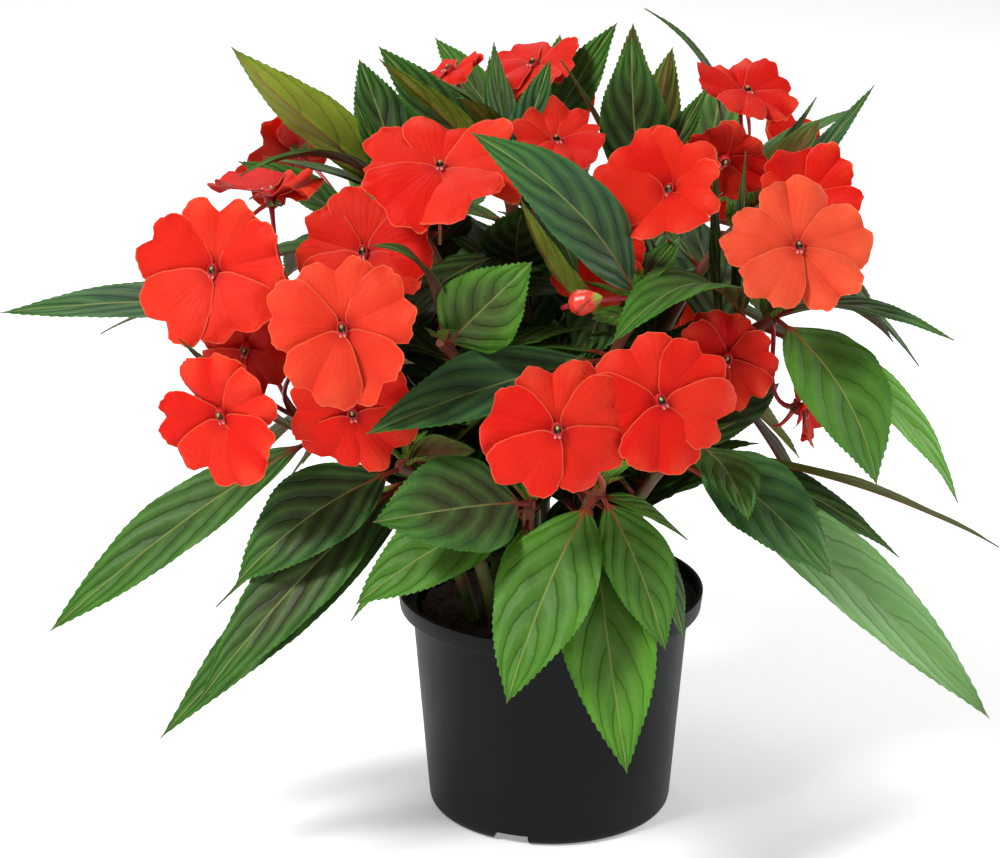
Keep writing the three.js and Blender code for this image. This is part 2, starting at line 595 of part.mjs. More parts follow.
// Assembly
const plant = new THREE.Group();
const add = (name, made, material, matrix = new THREE.Matrix4()) => {
  const mesh = new THREE.Mesh(geometryOf(made), material.clone());
  mesh.name = name;
  mesh.applyMatrix4(matrix);
  plant.add(mesh);
};

add('pot', potSolid(), potPlastic);
for (const stem of STEMS) stem.path = new StemPath(stem.foot, stem.tip);
add('soil', soilSolid(STEMS.map((stem) => stem.path)), darkSoil);

let flowerNumber = 0;
let budNumber = 0;
const numbered = (word, number) => `${word}_${String(number).padStart(2, '0')}`;
for (const stem of STEMS) {
  const leaves = stem.leaves.map((item) => leafSolid(item, stem.path.getPoint(item.on)));
  const stalks = [];
  for (const item of stem.flowers ?? []) {
    stalks.push(stalkSolid(stem.path, item, -FLOWER_HUB[0][1]));
    add(numbered('flower', ++flowerNumber), flowerSolid(item), flowerRed, flowerMatrix(item));
  }
  for (const item of stem.buds ?? []) {
    stalks.push(stalkSolid(stem.path, item, 0));
    add(numbered('bud', ++budNumber), budSolid(item), flowerRed, flowerMatrix(item));
  }
  const stalk = tube(stem.path, STEM_RADIUS, 5, 4);
  add(`leafy_stem_${stem.name}`, fuse([stalk, ...leaves, ...stalks]), leafGreen);
}

export default plant;
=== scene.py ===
import math
import random

import bmesh
import bpy
from mathutils import Matrix, Vector


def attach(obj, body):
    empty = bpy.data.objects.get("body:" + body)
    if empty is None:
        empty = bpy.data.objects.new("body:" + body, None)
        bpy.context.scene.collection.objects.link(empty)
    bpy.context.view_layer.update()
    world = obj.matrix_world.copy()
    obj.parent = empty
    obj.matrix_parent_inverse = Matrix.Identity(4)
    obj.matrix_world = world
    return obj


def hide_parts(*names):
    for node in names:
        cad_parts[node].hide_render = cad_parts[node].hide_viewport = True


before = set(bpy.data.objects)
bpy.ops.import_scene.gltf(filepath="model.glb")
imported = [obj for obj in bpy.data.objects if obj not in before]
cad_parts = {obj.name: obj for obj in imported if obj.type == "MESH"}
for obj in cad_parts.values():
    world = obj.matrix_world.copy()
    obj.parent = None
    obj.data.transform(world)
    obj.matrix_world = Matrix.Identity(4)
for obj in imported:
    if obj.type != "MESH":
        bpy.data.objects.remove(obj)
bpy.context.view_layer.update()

# The studio: a plain pale floor, and the plant seen from a little above by a long lens. The main soft light
# stands high at the front left. Weaker ones fill in from the right and shine from behind, and the pale room
# lights the rest.
MM = 0.001
CAMERA_AT = Vector((-21.5, -1200, 571)) * MM
CAMERA_AIM = Vector((-21.5, 0, 168)) * MM
CAMERA_LENS = 108.8
CAMERA_SENSOR = 36
FLOOR_HALF_WIDTH = 40
ROOM_COLOUR = (1.0, 1.0, 1.0)
ROOM_STRENGTH = 0.32
FLOOR_GLOW = 0.3
FLOOR_COLOUR = (0.93, 0.93, 0.93)
FLOOR_CLOUD = 0.985
# Each light: where it stands in metres, its width in metres and its power in watts
STUDIO_LIGHTS = {
    "key": ((-1.25, -0.95, 1.8), 0.55, 42),
    "fill": ((1.4, -1.1, 0.8), 1.3, 5),
    "rim": ((1.3, 0.5, 0.5), 0.8, 9),
    "back": ((-0.3, 1.6, 1.9), 1.2, 16),
}


def aim(thing, target):
    thing.rotation_euler = (Vector(target) - thing.location).to_track_quat("-Z", "Y").to_euler()


scene = bpy.context.scene
scene.view_settings.view_transform = "Standard"
camera = bpy.data.objects.new("camera", bpy.data.cameras.new("camera"))
camera.data.lens = CAMERA_LENS
camera.data.sensor_width = CAMERA_SENSOR
camera.location = CAMERA_AT
aim(camera, CAMERA_AIM)
scene.collection.objects.link(camera)
scene.camera = camera
for name, (place, width, power) in STUDIO_LIGHTS.items():
    light = bpy.data.objects.new(name, bpy.data.lights.new(name, "AREA"))
    light.data.shape = "DISK"
    light.data.size = width
    light.data.energy = power
    light.location = place
    aim(light, CAMERA_AIM)
    scene.collection.objects.link(light)
room = bpy.data.worlds.new("room")
room.use_nodes = True
backdrop = room.node_tree.nodes["Background"]
backdrop.inputs["Color"].default_value = (*ROOM_COLOUR, 1)
backdrop.inputs["Strength"].default_value = ROOM_STRENGTH
scene.world = room


class Term:
    """An output socket of a node tree. A sum of terms is written as plain Python, each step a maths node."""

    def __init__(self, tree, socket):
        self.tree = tree
        self.socket = socket

    @property
    def is_vector(self):
        return self.socket.type == "VECTOR"

    def step(self, operation, *values):
        """A maths node over the given values, among them this term."""
        vectors = any(isinstance(value, Term) and value.is_vector for value in values)
        node = self.tree.nodes.new("ShaderNodeVectorMath" if vectors else "ShaderNodeMath")
        node.operation = operation
        sockets = (node.inputs[0], node.inputs[3]) if operation == "SCALE" else node.inputs
        for value, socket in zip(values, sockets):
            plug(self.tree, value, socket)
        return Term(self.tree, node.outputs[operation in ("LENGTH", "DOT_PRODUCT")])

    def __add__(self, other):
        return self.step("ADD", self, other)

    def __radd__(self, other):
        return self.step("ADD", other, self)

    def __sub__(self, other):
        return self.step("SUBTRACT", self, other)

    def __rsub__(self, other):
        return self.step("SUBTRACT", other, self)

    def __mul__(self, other):
        if self.is_vector and not (isinstance(other, Term) and other.is_vector):
            return self.step("SCALE", self, other)
        if isinstance(other, Term) and other.is_vector and not self.is_vector:
            return self.step("SCALE", other, self)
        return self.step("MULTIPLY", self, other)

    __rmul__ = __mul__

    def __truediv__(self, other):
        return self.step("DIVIDE", self, other)

    def __pow__(self, power):
        return self.step("POWER", self, power)

    def of(self, operation, *others):
        """One operation on this term by its name, such as sine or cross product."""
        return self.step(operation.upper().replace(" ", "_"), self, *others)

    def rise(self, low, high):
        """0 below low, 1 above high, and a smooth slope between them."""
        node = self.tree.nodes.new("ShaderNodeMapRange")
        node.interpolation_type = "SMOOTHSTEP"
        for value, socket in zip((self, low, high), node.inputs):
            plug(self.tree, value, socket)
        return Term(self.tree, node.outputs[0])


def plug(tree, value, socket):
    """Links a term to a socket, or sets the socket to a plain number, vector or colour."""
    if isinstance(value, Term):
        tree.links.new(value.socket, socket)
    else:
        socket.default_value = (*value, 1) if socket.type == "RGBA" else value


def place_node(tree, kind, inputs=None, output=0, **settings):
    """Adds a node, sets it up, fills its inputs and gives back one of its outputs, by number or by name."""
    node = tree.nodes.new(kind)
    for name, value in settings.items():
        setattr(node, name, value)
    for name, value in (inputs or {}).items():
        plug(tree, value, node.inputs[name])
    return Term(tree, node.outputs[output])


def mix_colour(share, first, second):
    """The first colour where the share is 0, and the second one where it is 1."""
    node = share.tree.nodes.new("ShaderNodeMix")
    node.data_type = "RGBA"
    for value, socket in zip((share, first, second), (node.inputs[0], node.inputs[6], node.inputs[7])):
        plug(share.tree, value, socket)
    return Term(share.tree, node.outputs[2])


def noise(tree, at, scale, detail=2.0, roughness=0.5):
    """Cloudy noise from 0 to 1, by its scale per metre."""
    return place_node(tree, "ShaderNodeTexNoise",
                      {"Vector": at, "Scale": scale, "Detail": detail, "Roughness": roughness})


def new_material(name, roughness=None, **fixed):
    """A material with its Principled shader. Numbers alike all over it are set on the shader's sockets."""
    material = bpy.data.materials.new(name)
    material.use_nodes = True
    shader = material.node_tree.nodes["Principled BSDF"]
    if roughness is not None:
        shader.inputs["Roughness"].default_value = roughness
    for socket, value in fixed.items():
        shader.inputs[socket.replace("_", " ")].default_value = value
    return material, material.node_tree, shader


def object_place(tree):
    """The place on the object, in metres."""
    return place_node(tree, "ShaderNodeTexCoord", output="Object")


def finished(name, mesh, materials=()):
    """A mesh as an object at the origin."""
    for material in materials:
        mesh.materials.append(material)
    made = bpy.data.objects.new(name, mesh)
    scene.collection.objects.link(made)
    return made


floor_paint, tree, shader = new_material("floor_paint", roughness=0.7, Emission_Strength=FLOOR_GLOW)
cloud = noise(tree, object_place(tree), 3.0)
cloudy = [FLOOR_CLOUD * level for level in FLOOR_COLOUR]
plug(tree, mix_colour(cloud, FLOOR_COLOUR, cloudy), shader.inputs["Base Color"])
floor_mesh = bpy.data.meshes.new("floor")
half = FLOOR_HALF_WIDTH
floor_corners = [(-half, -half, 0), (half, -half, 0), (half, half, 0), (-half, half, 0)]
floor_mesh.from_pydata(floor_corners, [], [(0, 1, 2, 3)])
floor = finished("floor", floor_mesh, [floor_paint])

# The pot: one thin shell of black plastic, moulded with a rounded foot, a smooth tapered wall and a rim band
# that stands out. Its floor is raised between the standing ring and the middle, with drain holes, and notches
# in the ring let the water out.
POT_HEIGHT = 98
POT_RIM_RADIUS = 65
POT_FOOT_RADIUS = 51.5
POT_WALL = 1.6
POT_RIM_DEPTH = 8
POT_RIM_STEP = 4
POT_FLOOR_HEIGHT = 5
POT_HEEL_RADIUS = 16
POT_TURNS = 144
NOTCH_COUNT = 3
NOTCH_WIDTH = 19
NOTCH_HEIGHT = 4.5
NOTCH_LEAN = 5
NOTCH_TURN = -111.5
DRAIN_RADIUS = 5
DRAIN_RING = 30
DRAIN_COUNT = 5


def bow(first, middle, last, t):
    """A point on a curve that leaves its first point towards the middle one and ends at the last."""
    return first * (1 - t) ** 2 + middle * (2 * t * (1 - t)) + last * t ** 2


def rounded(profile, steps=4):
    """An outline of (radius, height) with each corner that gives a third number rounded by that radius."""
    made = []
    for i, corner in enumerate(profile):
        if len(corner) == 2:
            made.append(corner)
            continue
        here = Vector(corner[:2])
        before = Vector(profile[i - 1][:2]) - here
        after = Vector(profile[(i + 1) % len(profile)][:2]) - here
        start = here + before.normalized() * corner[2]
        end = here + after.normalized() * corner[2]
        made += [tuple(bow(start, here, end, k / steps)) for k in range(steps + 1)]
    return made


def turned(name, profile, sides, sharp_angle=40):
    """A mesh turned round +Z from an outline of (radius, height) in millimetres, which runs from its lowest
    middle point outwards and up to its highest middle point."""
    mesh = bpy.data.meshes.new(name)
    shape = bmesh.new()
    rings = []
    for radius, height in profile:
        if radius < 1e-6:
            rings.append([shape.verts.new((0, 0, height * MM))])
            continue
        rings.append([
            shape.verts.new((radius * MM * math.cos(2 * math.pi * k / sides),
                             radius * MM * math.sin(2 * math.pi * k / sides), height * MM))
            for k in range(sides)])
    for low, high in zip(rings, rings[1:]):
        for k in range(sides):
            corners = [low[k % len(low)], low[(k + 1) % len(low)],
                       high[(k + 1) % len(high)], high[k % len(high)]]
            shape.faces.new(list(dict.fromkeys(corners)))
    shape.to_mesh(mesh)
    shape.free()
    mesh.shade_smooth()
    mesh.set_sharp_from_angle(angle=math.radians(sharp_angle))
    return mesh


def box_cutter(size, place, turn, lean=0):
    """A block to cut with, in millimetres, turned round +Z. Its left end leans out towards its foot."""
    mesh = bpy.data.meshes.new("cutter")
    shape = bmesh.new()
    bmesh.ops.create_cube(shape, size=1)
    for vert in shape.verts:
        vert.co = Vector([length * MM * share for length, share in zip(size, vert.co)])
        if vert.co.y < 0 and vert.co.z > 0:
            vert.co.y += lean * MM
    shape.to_mesh(mesh)
    shape.free()
    mesh.transform(Matrix.Rotation(math.radians(turn), 4, "Z") @ Matrix.Translation(Vector(place) * MM))
    return finished("cutter", mesh)


def cut_away(mesh, cutters):
    """The mesh less all the cutters."""
    body = finished("body", mesh)
    for cutter in cutters:
        hole = body.modifiers.new("hole", "BOOLEAN")
        hole.operation = "DIFFERENCE"
        hole.object = cutter
        hole.solver = "EXACT"
    whole = body.evaluated_get(bpy.context.evaluated_depsgraph_get())
    made = bpy.data.meshes.new_from_object(whole)
    for thing in (body, *cutters):
        bpy.data.objects.remove(thing)
    return made


def bump(tree, shader, height, distance, strength=1.0):
    """Relief on the surface, by its height from 0 to 1 and its depth in metres."""
    values = {"Height": height, "Distance": distance, "Strength": strength}
    plug(tree, place_node(tree, "ShaderNodeBump", values), shader.inputs["Normal"])


rim_inner = POT_RIM_RADIUS - POT_RIM_STEP
rim_foot = POT_HEIGHT - POT_RIM_DEPTH
pot_profile = rounded([
    (0, 0),
    (POT_HEEL_RADIUS, 0, 0.8),
    (POT_HEEL_RADIUS + 3, POT_FLOOR_HEIGHT - POT_WALL, 0.8),
    (POT_FOOT_RADIUS - 6, POT_FLOOR_HEIGHT - POT_WALL, 0.5),
    (POT_FOOT_RADIUS - 5, 0, 0.5),
    (POT_FOOT_RADIUS + 0.3, 0, 4.2),
    (rim_inner - 2.2, rim_foot - 1.6, 1.2),
    (rim_inner - 0.6, rim_foot, 1.2),
    (POT_RIM_RADIUS - 0.9, rim_foot, 0.9),
    (POT_RIM_RADIUS, POT_HEIGHT, 0.7),
    (POT_RIM_RADIUS - 1.8, POT_HEIGHT, 0.7),
    (POT_RIM_RADIUS - 2.6, rim_foot + POT_WALL, 1.0),
    (rim_inner - 2 - POT_WALL, rim_foot + POT_WALL, 0.8),
    (POT_FOOT_RADIUS - POT_WALL, POT_FLOOR_HEIGHT, 2.0),
    (0, POT_FLOOR_HEIGHT),
])
cutters = [
    box_cutter((16, NOTCH_WIDTH, NOTCH_HEIGHT * 2), (POT_FOOT_RADIUS - 1, 0, 0),
               NOTCH_TURN + 360 * i / NOTCH_COUNT, NOTCH_LEAN)
    for i in range(NOTCH_COUNT)]
for i in range(DRAIN_COUNT):
    angle = 2 * math.pi * i / DRAIN_COUNT
    drain = turned("drain", [(0, -8), (DRAIN_RADIUS, -8), (DRAIN_RADIUS, 8), (0, 8)], 32)
    drain.transform(Matrix.Translation(Vector((math.cos(angle), math.sin(angle), 0)) * DRAIN_RING * MM))
    cutters.append(finished("drain", drain))
pot_mesh = cut_away(turned("pot_shell", pot_profile, POT_TURNS), cutters)
pot_mesh.shade_smooth()
pot_mesh.set_sharp_from_angle(angle=math.radians(40))

pot_plastic, tree, shader = new_material("pot_plastic", Specular_IOR_Level=0.14)
at = object_place(tree)
grain = noise(tree, at, 2600, 3)
haze = noise(tree, at, 38, 4, 0.6)
streaks = noise(tree, at.of("multiply", (1, 1, 0.1)), 330, 3)
black = mix_colour(haze, (0.0024, 0.0028, 0.0036), (0.0050, 0.0056, 0.0068))
plug(tree, black, shader.inputs["Base Color"])
plug(tree, 0.36 + 0.14 * haze + 0.08 * streaks, shader.inputs["Roughness"])
bump(tree, shader, grain * 0.6 + streaks * 0.4, 0.00004, 0.6)
pot = finished("nursery_pot", pot_mesh, [pot_plastic])
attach(pot, "root")
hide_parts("pot")

# The potting soil: a block of dark peat that fills the pot, loose and uneven on top, with crumbs and short
# reddish fibres lying on it. The stems stand in it.
SOIL_TOP = 88
SOIL_RELIEF = 2.2
SOIL_GAP = 0.35
SOIL_RINGS = 26
SOIL_SIDES = 96
CRUMB_COUNT = 620
CRUMB_SIZES = (0.9, 3.2)
FIBRE_COUNT = 130
FIBRE_LENGTHS = (5, 14)
FIBRE_RADIUS = 0.16
FIBRE_WIDTHS = (0.5, 1, 1.1, 1, 0.8, 0.4)
FIBRE_SIDES = 5


def new_tree(name, **inputs):
    """A geometry node tree with its inputs by name: a number, a whole number or a socket kind each. It gives
    back the tree, its inputs as terms, and the socket that its result goes to."""
    tree = bpy.data.node_groups.new(name, "GeometryNodeTree")
    tree.interface.new_socket("Geometry", in_out="INPUT", socket_type="NodeSocketGeometry")
    tree.interface.new_socket("Geometry", in_out="OUTPUT", socket_type="NodeSocketGeometry")
    kinds = {int: "NodeSocketInt", float: "NodeSocketFloat"}
    for label, value in inputs.items():
        kind = value if isinstance(value, str) else kinds[type(value)]
        socket = tree.interface.new_socket(label.replace("_", " "), in_out="INPUT", socket_type=kind)
        if not isinstance(value, str):
            socket.default_value = value
    start = tree.nodes.new("NodeGroupInput")
    end = tree.nodes.new("NodeGroupOutput")
    terms = {socket.name: Term(tree, socket) for socket in start.outputs if socket.name}
    return tree, terms, end.inputs["Geometry"]


def grown(mesh, tree, **values):
    """The plain mesh that a geometry node tree makes from a mesh, with the modifier's inputs set by name."""
    host = bpy.data.objects.new("host", mesh)
    scene.collection.objects.link(host)
    modifier = host.modifiers.new(tree.name, "NODES")
    modifier.node_group = tree
    for socket in tree.interface.items_tree:
        label = socket.name.replace(" ", "_")
        if socket.in_out == "INPUT" and label in values:
            modifier[socket.identifier] = values[label]
    result = bpy.data.meshes.new_from_object(host.evaluated_get(bpy.context.evaluated_depsgraph_get()))
    bpy.data.objects.remove(host)
    return result


def attribute(tree, name, kind="FLOAT"):
    """An attribute of the mesh, read in a geometry node tree."""
    return place_node(tree, "GeometryNodeInputNamedAttribute", {"Name": name}, data_type=kind)


def points_with(name, count, edges=(), **columns):
    """A mesh of bare points, each with the given numbers or vectors."""
    mesh = bpy.data.meshes.new(name)
    mesh.from_pydata([(0, 0, 0)] * count, edges, [])
    for label, rows in columns.items():
        vectors = hasattr(rows[0], "__len__")
        layer = mesh.attributes.new(label, "FLOAT_VECTOR" if vectors else "FLOAT", "POINT")
        flat = [number for row in rows for number in row] if vectors else rows
        layer.data.foreach_set("vector" if vectors else "value", flat)
    return mesh


def smoothed(geometry, sharpest):
    """Smooth shading over every edge that is flatter than an angle in radians."""
    angle = place_node(geometry.tree, "GeometryNodeInputMeshEdgeAngle")
    return place_node(geometry.tree, "GeometryNodeSetShadeSmooth",
                      {"Geometry": geometry, "Shade Smooth": angle.of("less than", sharpest)}, domain="EDGE")


def dressed(geometry, material, result):
    """Gives the geometry its material and puts it out of its tree."""
    plug(geometry.tree, place_node(geometry.tree, "GeometryNodeSetMaterial",
                                   {"Geometry": geometry, "Material": material}), result)


def tube_tree():
    """Round tubes along drawn lines, with each point's radius, closed at both ends."""
    tree, given, result = new_tree("round_tubes", Sides=8, Material="NodeSocketMaterial")
    line = place_node(tree, "GeometryNodeMeshToCurve", {"Mesh": given["Geometry"]})
    circle = place_node(tree, "GeometryNodeCurvePrimitiveCircle",
                        {"Resolution": given["Sides"], "Radius": 1.0})
    tube = place_node(tree, "GeometryNodeCurveToMesh", {
        "Curve": line, "Profile Curve": circle, "Scale": attribute(tree, "radius"), "Fill Caps": True})
    tube = place_node(tree, "GeometryNodeRealizeInstances", {"Geometry": tube})
    dressed(smoothed(tube, 1.2), given["Material"], result)
    return tree


ROUND_TUBES = tube_tree()


def tubes(name, lines, sides, material):
    """Tubes as one plain mesh. Each line is its points and radii in millimetres and its own number."""
    places, radii, shares, marks, edges = [], [], [], [], []
    for points, widths, mark in lines:
        first = len(places)
        edges += [(first + k, first + k + 1) for k in range(len(points) - 1)]
        places += [Vector(point) * MM for point in points]
        radii += [width * MM for width in widths]
        shares += [k / (len(points) - 1) for k in range(len(points))]
        marks += [mark] * len(points)
    mesh = points_with(name, len(places), edges, radius=radii, reach=shares, mark=marks)
    for vert, place in zip(mesh.vertices, places):
        vert.co = place
    return grown(mesh, ROUND_TUBES, Sides=sides, Material=material)


def joined(name, meshes):
    """Several meshes as one object, with each one's materials and attributes."""
    parts = [finished(name if i == 0 else "part", mesh) for i, mesh in enumerate(meshes)]
    with bpy.context.temp_override(active_object=parts[0], selected_objects=parts,
                                   selected_editable_objects=parts):
        bpy.ops.object.join()
    return parts[0]


def scatter_tree():
    """Lumps of all sizes strewn over the top of the soil."""
    tree, given, result = new_tree("soil_crumbs", Density=1.0, Smallest=1.0, Largest=1.0, Seed=1,
                                   Material="NodeSocketMaterial")
    up = place_node(tree, "GeometryNodeInputNormal").of("dot product", (0, 0, 1))
    strewn = tree.nodes.new("GeometryNodeDistributePointsOnFaces")
    for label, value in {"Mesh": given["Geometry"], "Selection": up.of("greater than", 0.6),
                         "Density": given["Density"], "Seed": given["Seed"]}.items():
        plug(tree, value, strewn.inputs[label])
    lump = place_node(tree, "GeometryNodeMeshIcoSphere", {"Radius": 0.5, "Subdivisions": 2})

    def draw(seed, low, high):
        """A number of each lump's own, between two ends."""
        node = tree.nodes.new("FunctionNodeRandomValue")
        plug(tree, low, node.inputs[2])
        plug(tree, high, node.inputs[3])
        node.inputs["Seed"].default_value = seed
        return Term(tree, node.outputs[1])

    share = draw(2, 0.0, 1.0) ** 2.2
    size = given["Smallest"] + (given["Largest"] - given["Smallest"]) * share
    shape = place_node(tree, "ShaderNodeCombineXYZ", {
        "X": size * draw(3, 0.6, 1.1), "Y": size * draw(4, 0.7, 1.3), "Z": size * draw(5, 0.45, 0.9)})
    turn = place_node(tree, "ShaderNodeCombineXYZ", {
        "X": draw(6, -0.7, 0.7), "Y": draw(7, -0.7, 0.7), "Z": draw(8, 0.0, 6.28)})
    crumbs = place_node(tree, "GeometryNodeInstanceOnPoints", {
        "Points": Term(tree, strewn.outputs[0]), "Instance": lump, "Scale": shape, "Rotation": turn})
    crumbs = place_node(tree, "GeometryNodeRealizeInstances", {"Geometry": crumbs})
    here = place_node(tree, "GeometryNodeInputPosition")
    rough = noise(tree, here, 900.0, 2) - 0.5
    out = place_node(tree, "GeometryNodeInputNormal") * (rough * 0.0011)
    crumbs = place_node(tree, "GeometryNodeSetPosition", {"Geometry": crumbs, "Offset": out})
    dressed(crumbs, given["Material"], result)
    return tree


def soil_radius(height):
    """The radius of the soil block where it lies against the pot's wall."""
    wall = POT_WALL + SOIL_GAP
    top = POT_RIM_RADIUS - POT_RIM_STEP - 2 - wall
    slope = (top - POT_FOOT_RADIUS + wall) / (rim_foot - POT_FLOOR_HEIGHT)
    return POT_FOOT_RADIUS - wall + slope * (height - POT_FLOOR_HEIGHT) - 0.3


def soil_height(x, y):
    """The height of the soil's loose top above the table."""
    lump = math.sin(x * 0.31 + 1.7) * math.cos(y * 0.27 - 0.6) + 0.5 * math.sin((x - y) * 0.53)
    fine = math.sin(x * 1.3 + 2 * math.sin(y * 0.9)) * math.cos(y * 1.1 + 2 * math.sin(x * 0.7))
    return SOIL_TOP + SOIL_RELIEF * 0.6 * lump + 0.45 * fine


bottom = POT_FLOOR_HEIGHT + SOIL_GAP
brim = soil_radius(SOIL_TOP - 3)
soil_profile = [(0, bottom), (soil_radius(bottom), bottom), (brim, SOIL_TOP - 3)]
soil_profile += [(brim * (1 - k / SOIL_RINGS), SOIL_TOP) for k in range(1, SOIL_RINGS + 1)]
soil_mesh = turned("soil_block", soil_profile, SOIL_SIDES)
for vert in soil_mesh.vertices:
    if vert.co.z > (SOIL_TOP - 0.1) * MM:
        vert.co.z = soil_height(vert.co.x / MM, vert.co.y / MM) * MM

peat, tree, shader = new_material("peat", roughness=0.95)
at = object_place(tree)
lumps = noise(tree, at, 180, 6, 0.7)
specks = noise(tree, at, 1100, 3)
dark = mix_colour(lumps.rise(0.3, 0.7), (0.009, 0.0042, 0.0034), (0.040, 0.015, 0.011))
plug(tree, mix_colour(specks.rise(0.64, 0.78), dark, (0.085, 0.036, 0.024)), shader.inputs["Base Color"])
bump(tree, shader, lumps * 0.7 + specks * 0.3, 0.0012, 1.0)
bark_fibre, tree, shader = new_material("bark_fibre", roughness=0.8)
tint = noise(tree, object_place(tree), 260, 2).rise(0.35, 0.65)
plug(tree, mix_colour(tint, (0.050, 0.016, 0.010), (0.12, 0.045, 0.024)), shader.inputs["Base Color"])
bump(tree, shader, noise(tree, object_place(tree), 4000, 2), 0.0001)

top_area = math.pi * (brim * MM) ** 2
crumb_mesh = grown(soil_mesh.copy(), scatter_tree(), Density=CRUMB_COUNT / top_area,
                   Smallest=CRUMB_SIZES[0] * MM, Largest=CRUMB_SIZES[1] * MM, Seed=7, Material=peat)
soil_mesh.materials.append(peat)
draw = random.Random(11)
fibres = []
for i in range(FIBRE_COUNT):
    radius = (brim - 2) * math.sqrt(draw.random())
    angle, heading = draw.uniform(0, 2 * math.pi), draw.uniform(0, 2 * math.pi)
    x, y = radius * math.cos(angle), radius * math.sin(angle)
    length, bend, lift = draw.uniform(*FIBRE_LENGTHS), draw.uniform(-0.9, 0.9), draw.uniform(0.3, 1.6)
    points = []
    for k in range(len(FIBRE_WIDTHS)):
        t = k / (len(FIBRE_WIDTHS) - 1)
        step = length * (t - 0.5)
        turn = heading + bend * t
        px, py = x + step * math.cos(turn), y + step * math.sin(turn)
        reach = min(1.0, (brim - 1) / max(1e-6, math.hypot(px, py)))
        px, py = px * reach, py * reach
        points.append((px, py, soil_height(px, py) + 0.25 + lift * math.sin(math.pi * t)))
    fibres.append((points, [FIBRE_RADIUS * width for width in FIBRE_WIDTHS], 0))
soil = joined("potting_soil", [soil_mesh, crumb_mesh, tubes("fibres", fibres, FIBRE_SIDES, bark_fibre)])
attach(soil, "root")
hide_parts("soil")

# The leafy stems: fleshy green shoots, flushed with red, that leave the soil upright and lean out to their
# growing tips. Each one carries its leaves and the thin red stalks of its flowers, as one living piece.
STEM_ROOT_DEPTH = 14
STEM_RADII = (3.0, 2.1)
STEM_STEPS = 26
STEM_SIDES = 12
SCAR_SWELL = 0.22
SCAR_REACH = 0.02
STALK_RADII = (1.15, 0.8)
STALK_FLARE = 0.5
STALK_STEPS = 18
STALK_SIDES = 7
FLOWER_BACK = 4
BUD_BACK = 0.4
CLEARANCE = 0.35
# The looks of a leaf: how bronzed its middle is, how light it is, and how much grey-blue sheen is painted on
# it
LEAF_LOOKS = {
    "dark": (0.6, 0.12, 0.12), "green": (0.35, 0.42, 0.1), "bright": (0.0, 0.8, 0.0),
    "light": (0.3, 1.0, 0.0), "teal": (0.2, 0.3, 0.9), "grey": (0.1, 0.45, 0.7), "bronze": (1.0, 0.25, 0.05),
    "purple": (1.0, 0.4, 0.45), "olive": (0.85, 0.55, 0.0), "pale": (0.0, 1.2, 0.1), "young": (0.2, 0.9, 0.0),
    "wilted": (0.3, 1.9, 0.0), "painted_sheen": (0.0, 1.3, 1.0), "fresh": (0.2, 0.56, 0.0), "lime": (0.0, 1.6, 0.0),
    "mellow": (0.5, 0.76, 0.0),
}


def leaf(on, tip, width, arch, face, look):
    """A leaf by its place along the stem, its tip, its width, the lift of its arch near the stalk and near
    the tip, the way that its upper side faces, and its look."""
    return {"on": on, "tip": Vector(tip), "width": width, "arch": arch, "face": Vector(face), "look": look}


def flower(on, at, face, size, spin=0):
    """A flower or bud by its stalk's place along the stem, its middle, its face and its size across."""
    return {"on": on, "at": Vector(at), "face": Vector(face).normalized(), "size": size, "spin": spin}


def stem(foot, tip, leaves, flowers=(), buds=()):
    """A leafy stem by its foot in the soil, its growing tip and what it carries."""
    foot, tip = Vector((*foot, SOIL_TOP - STEM_ROOT_DEPTH)), Vector(tip)
    rise = tip - foot
    bend = foot + Vector((rise.x * 0.15, rise.y * 0.15, rise.z * 0.75))
    return {"foot": foot, "bend": bend, "tip": tip, "leaves": leaves, "flowers": flowers, "buds": buds}


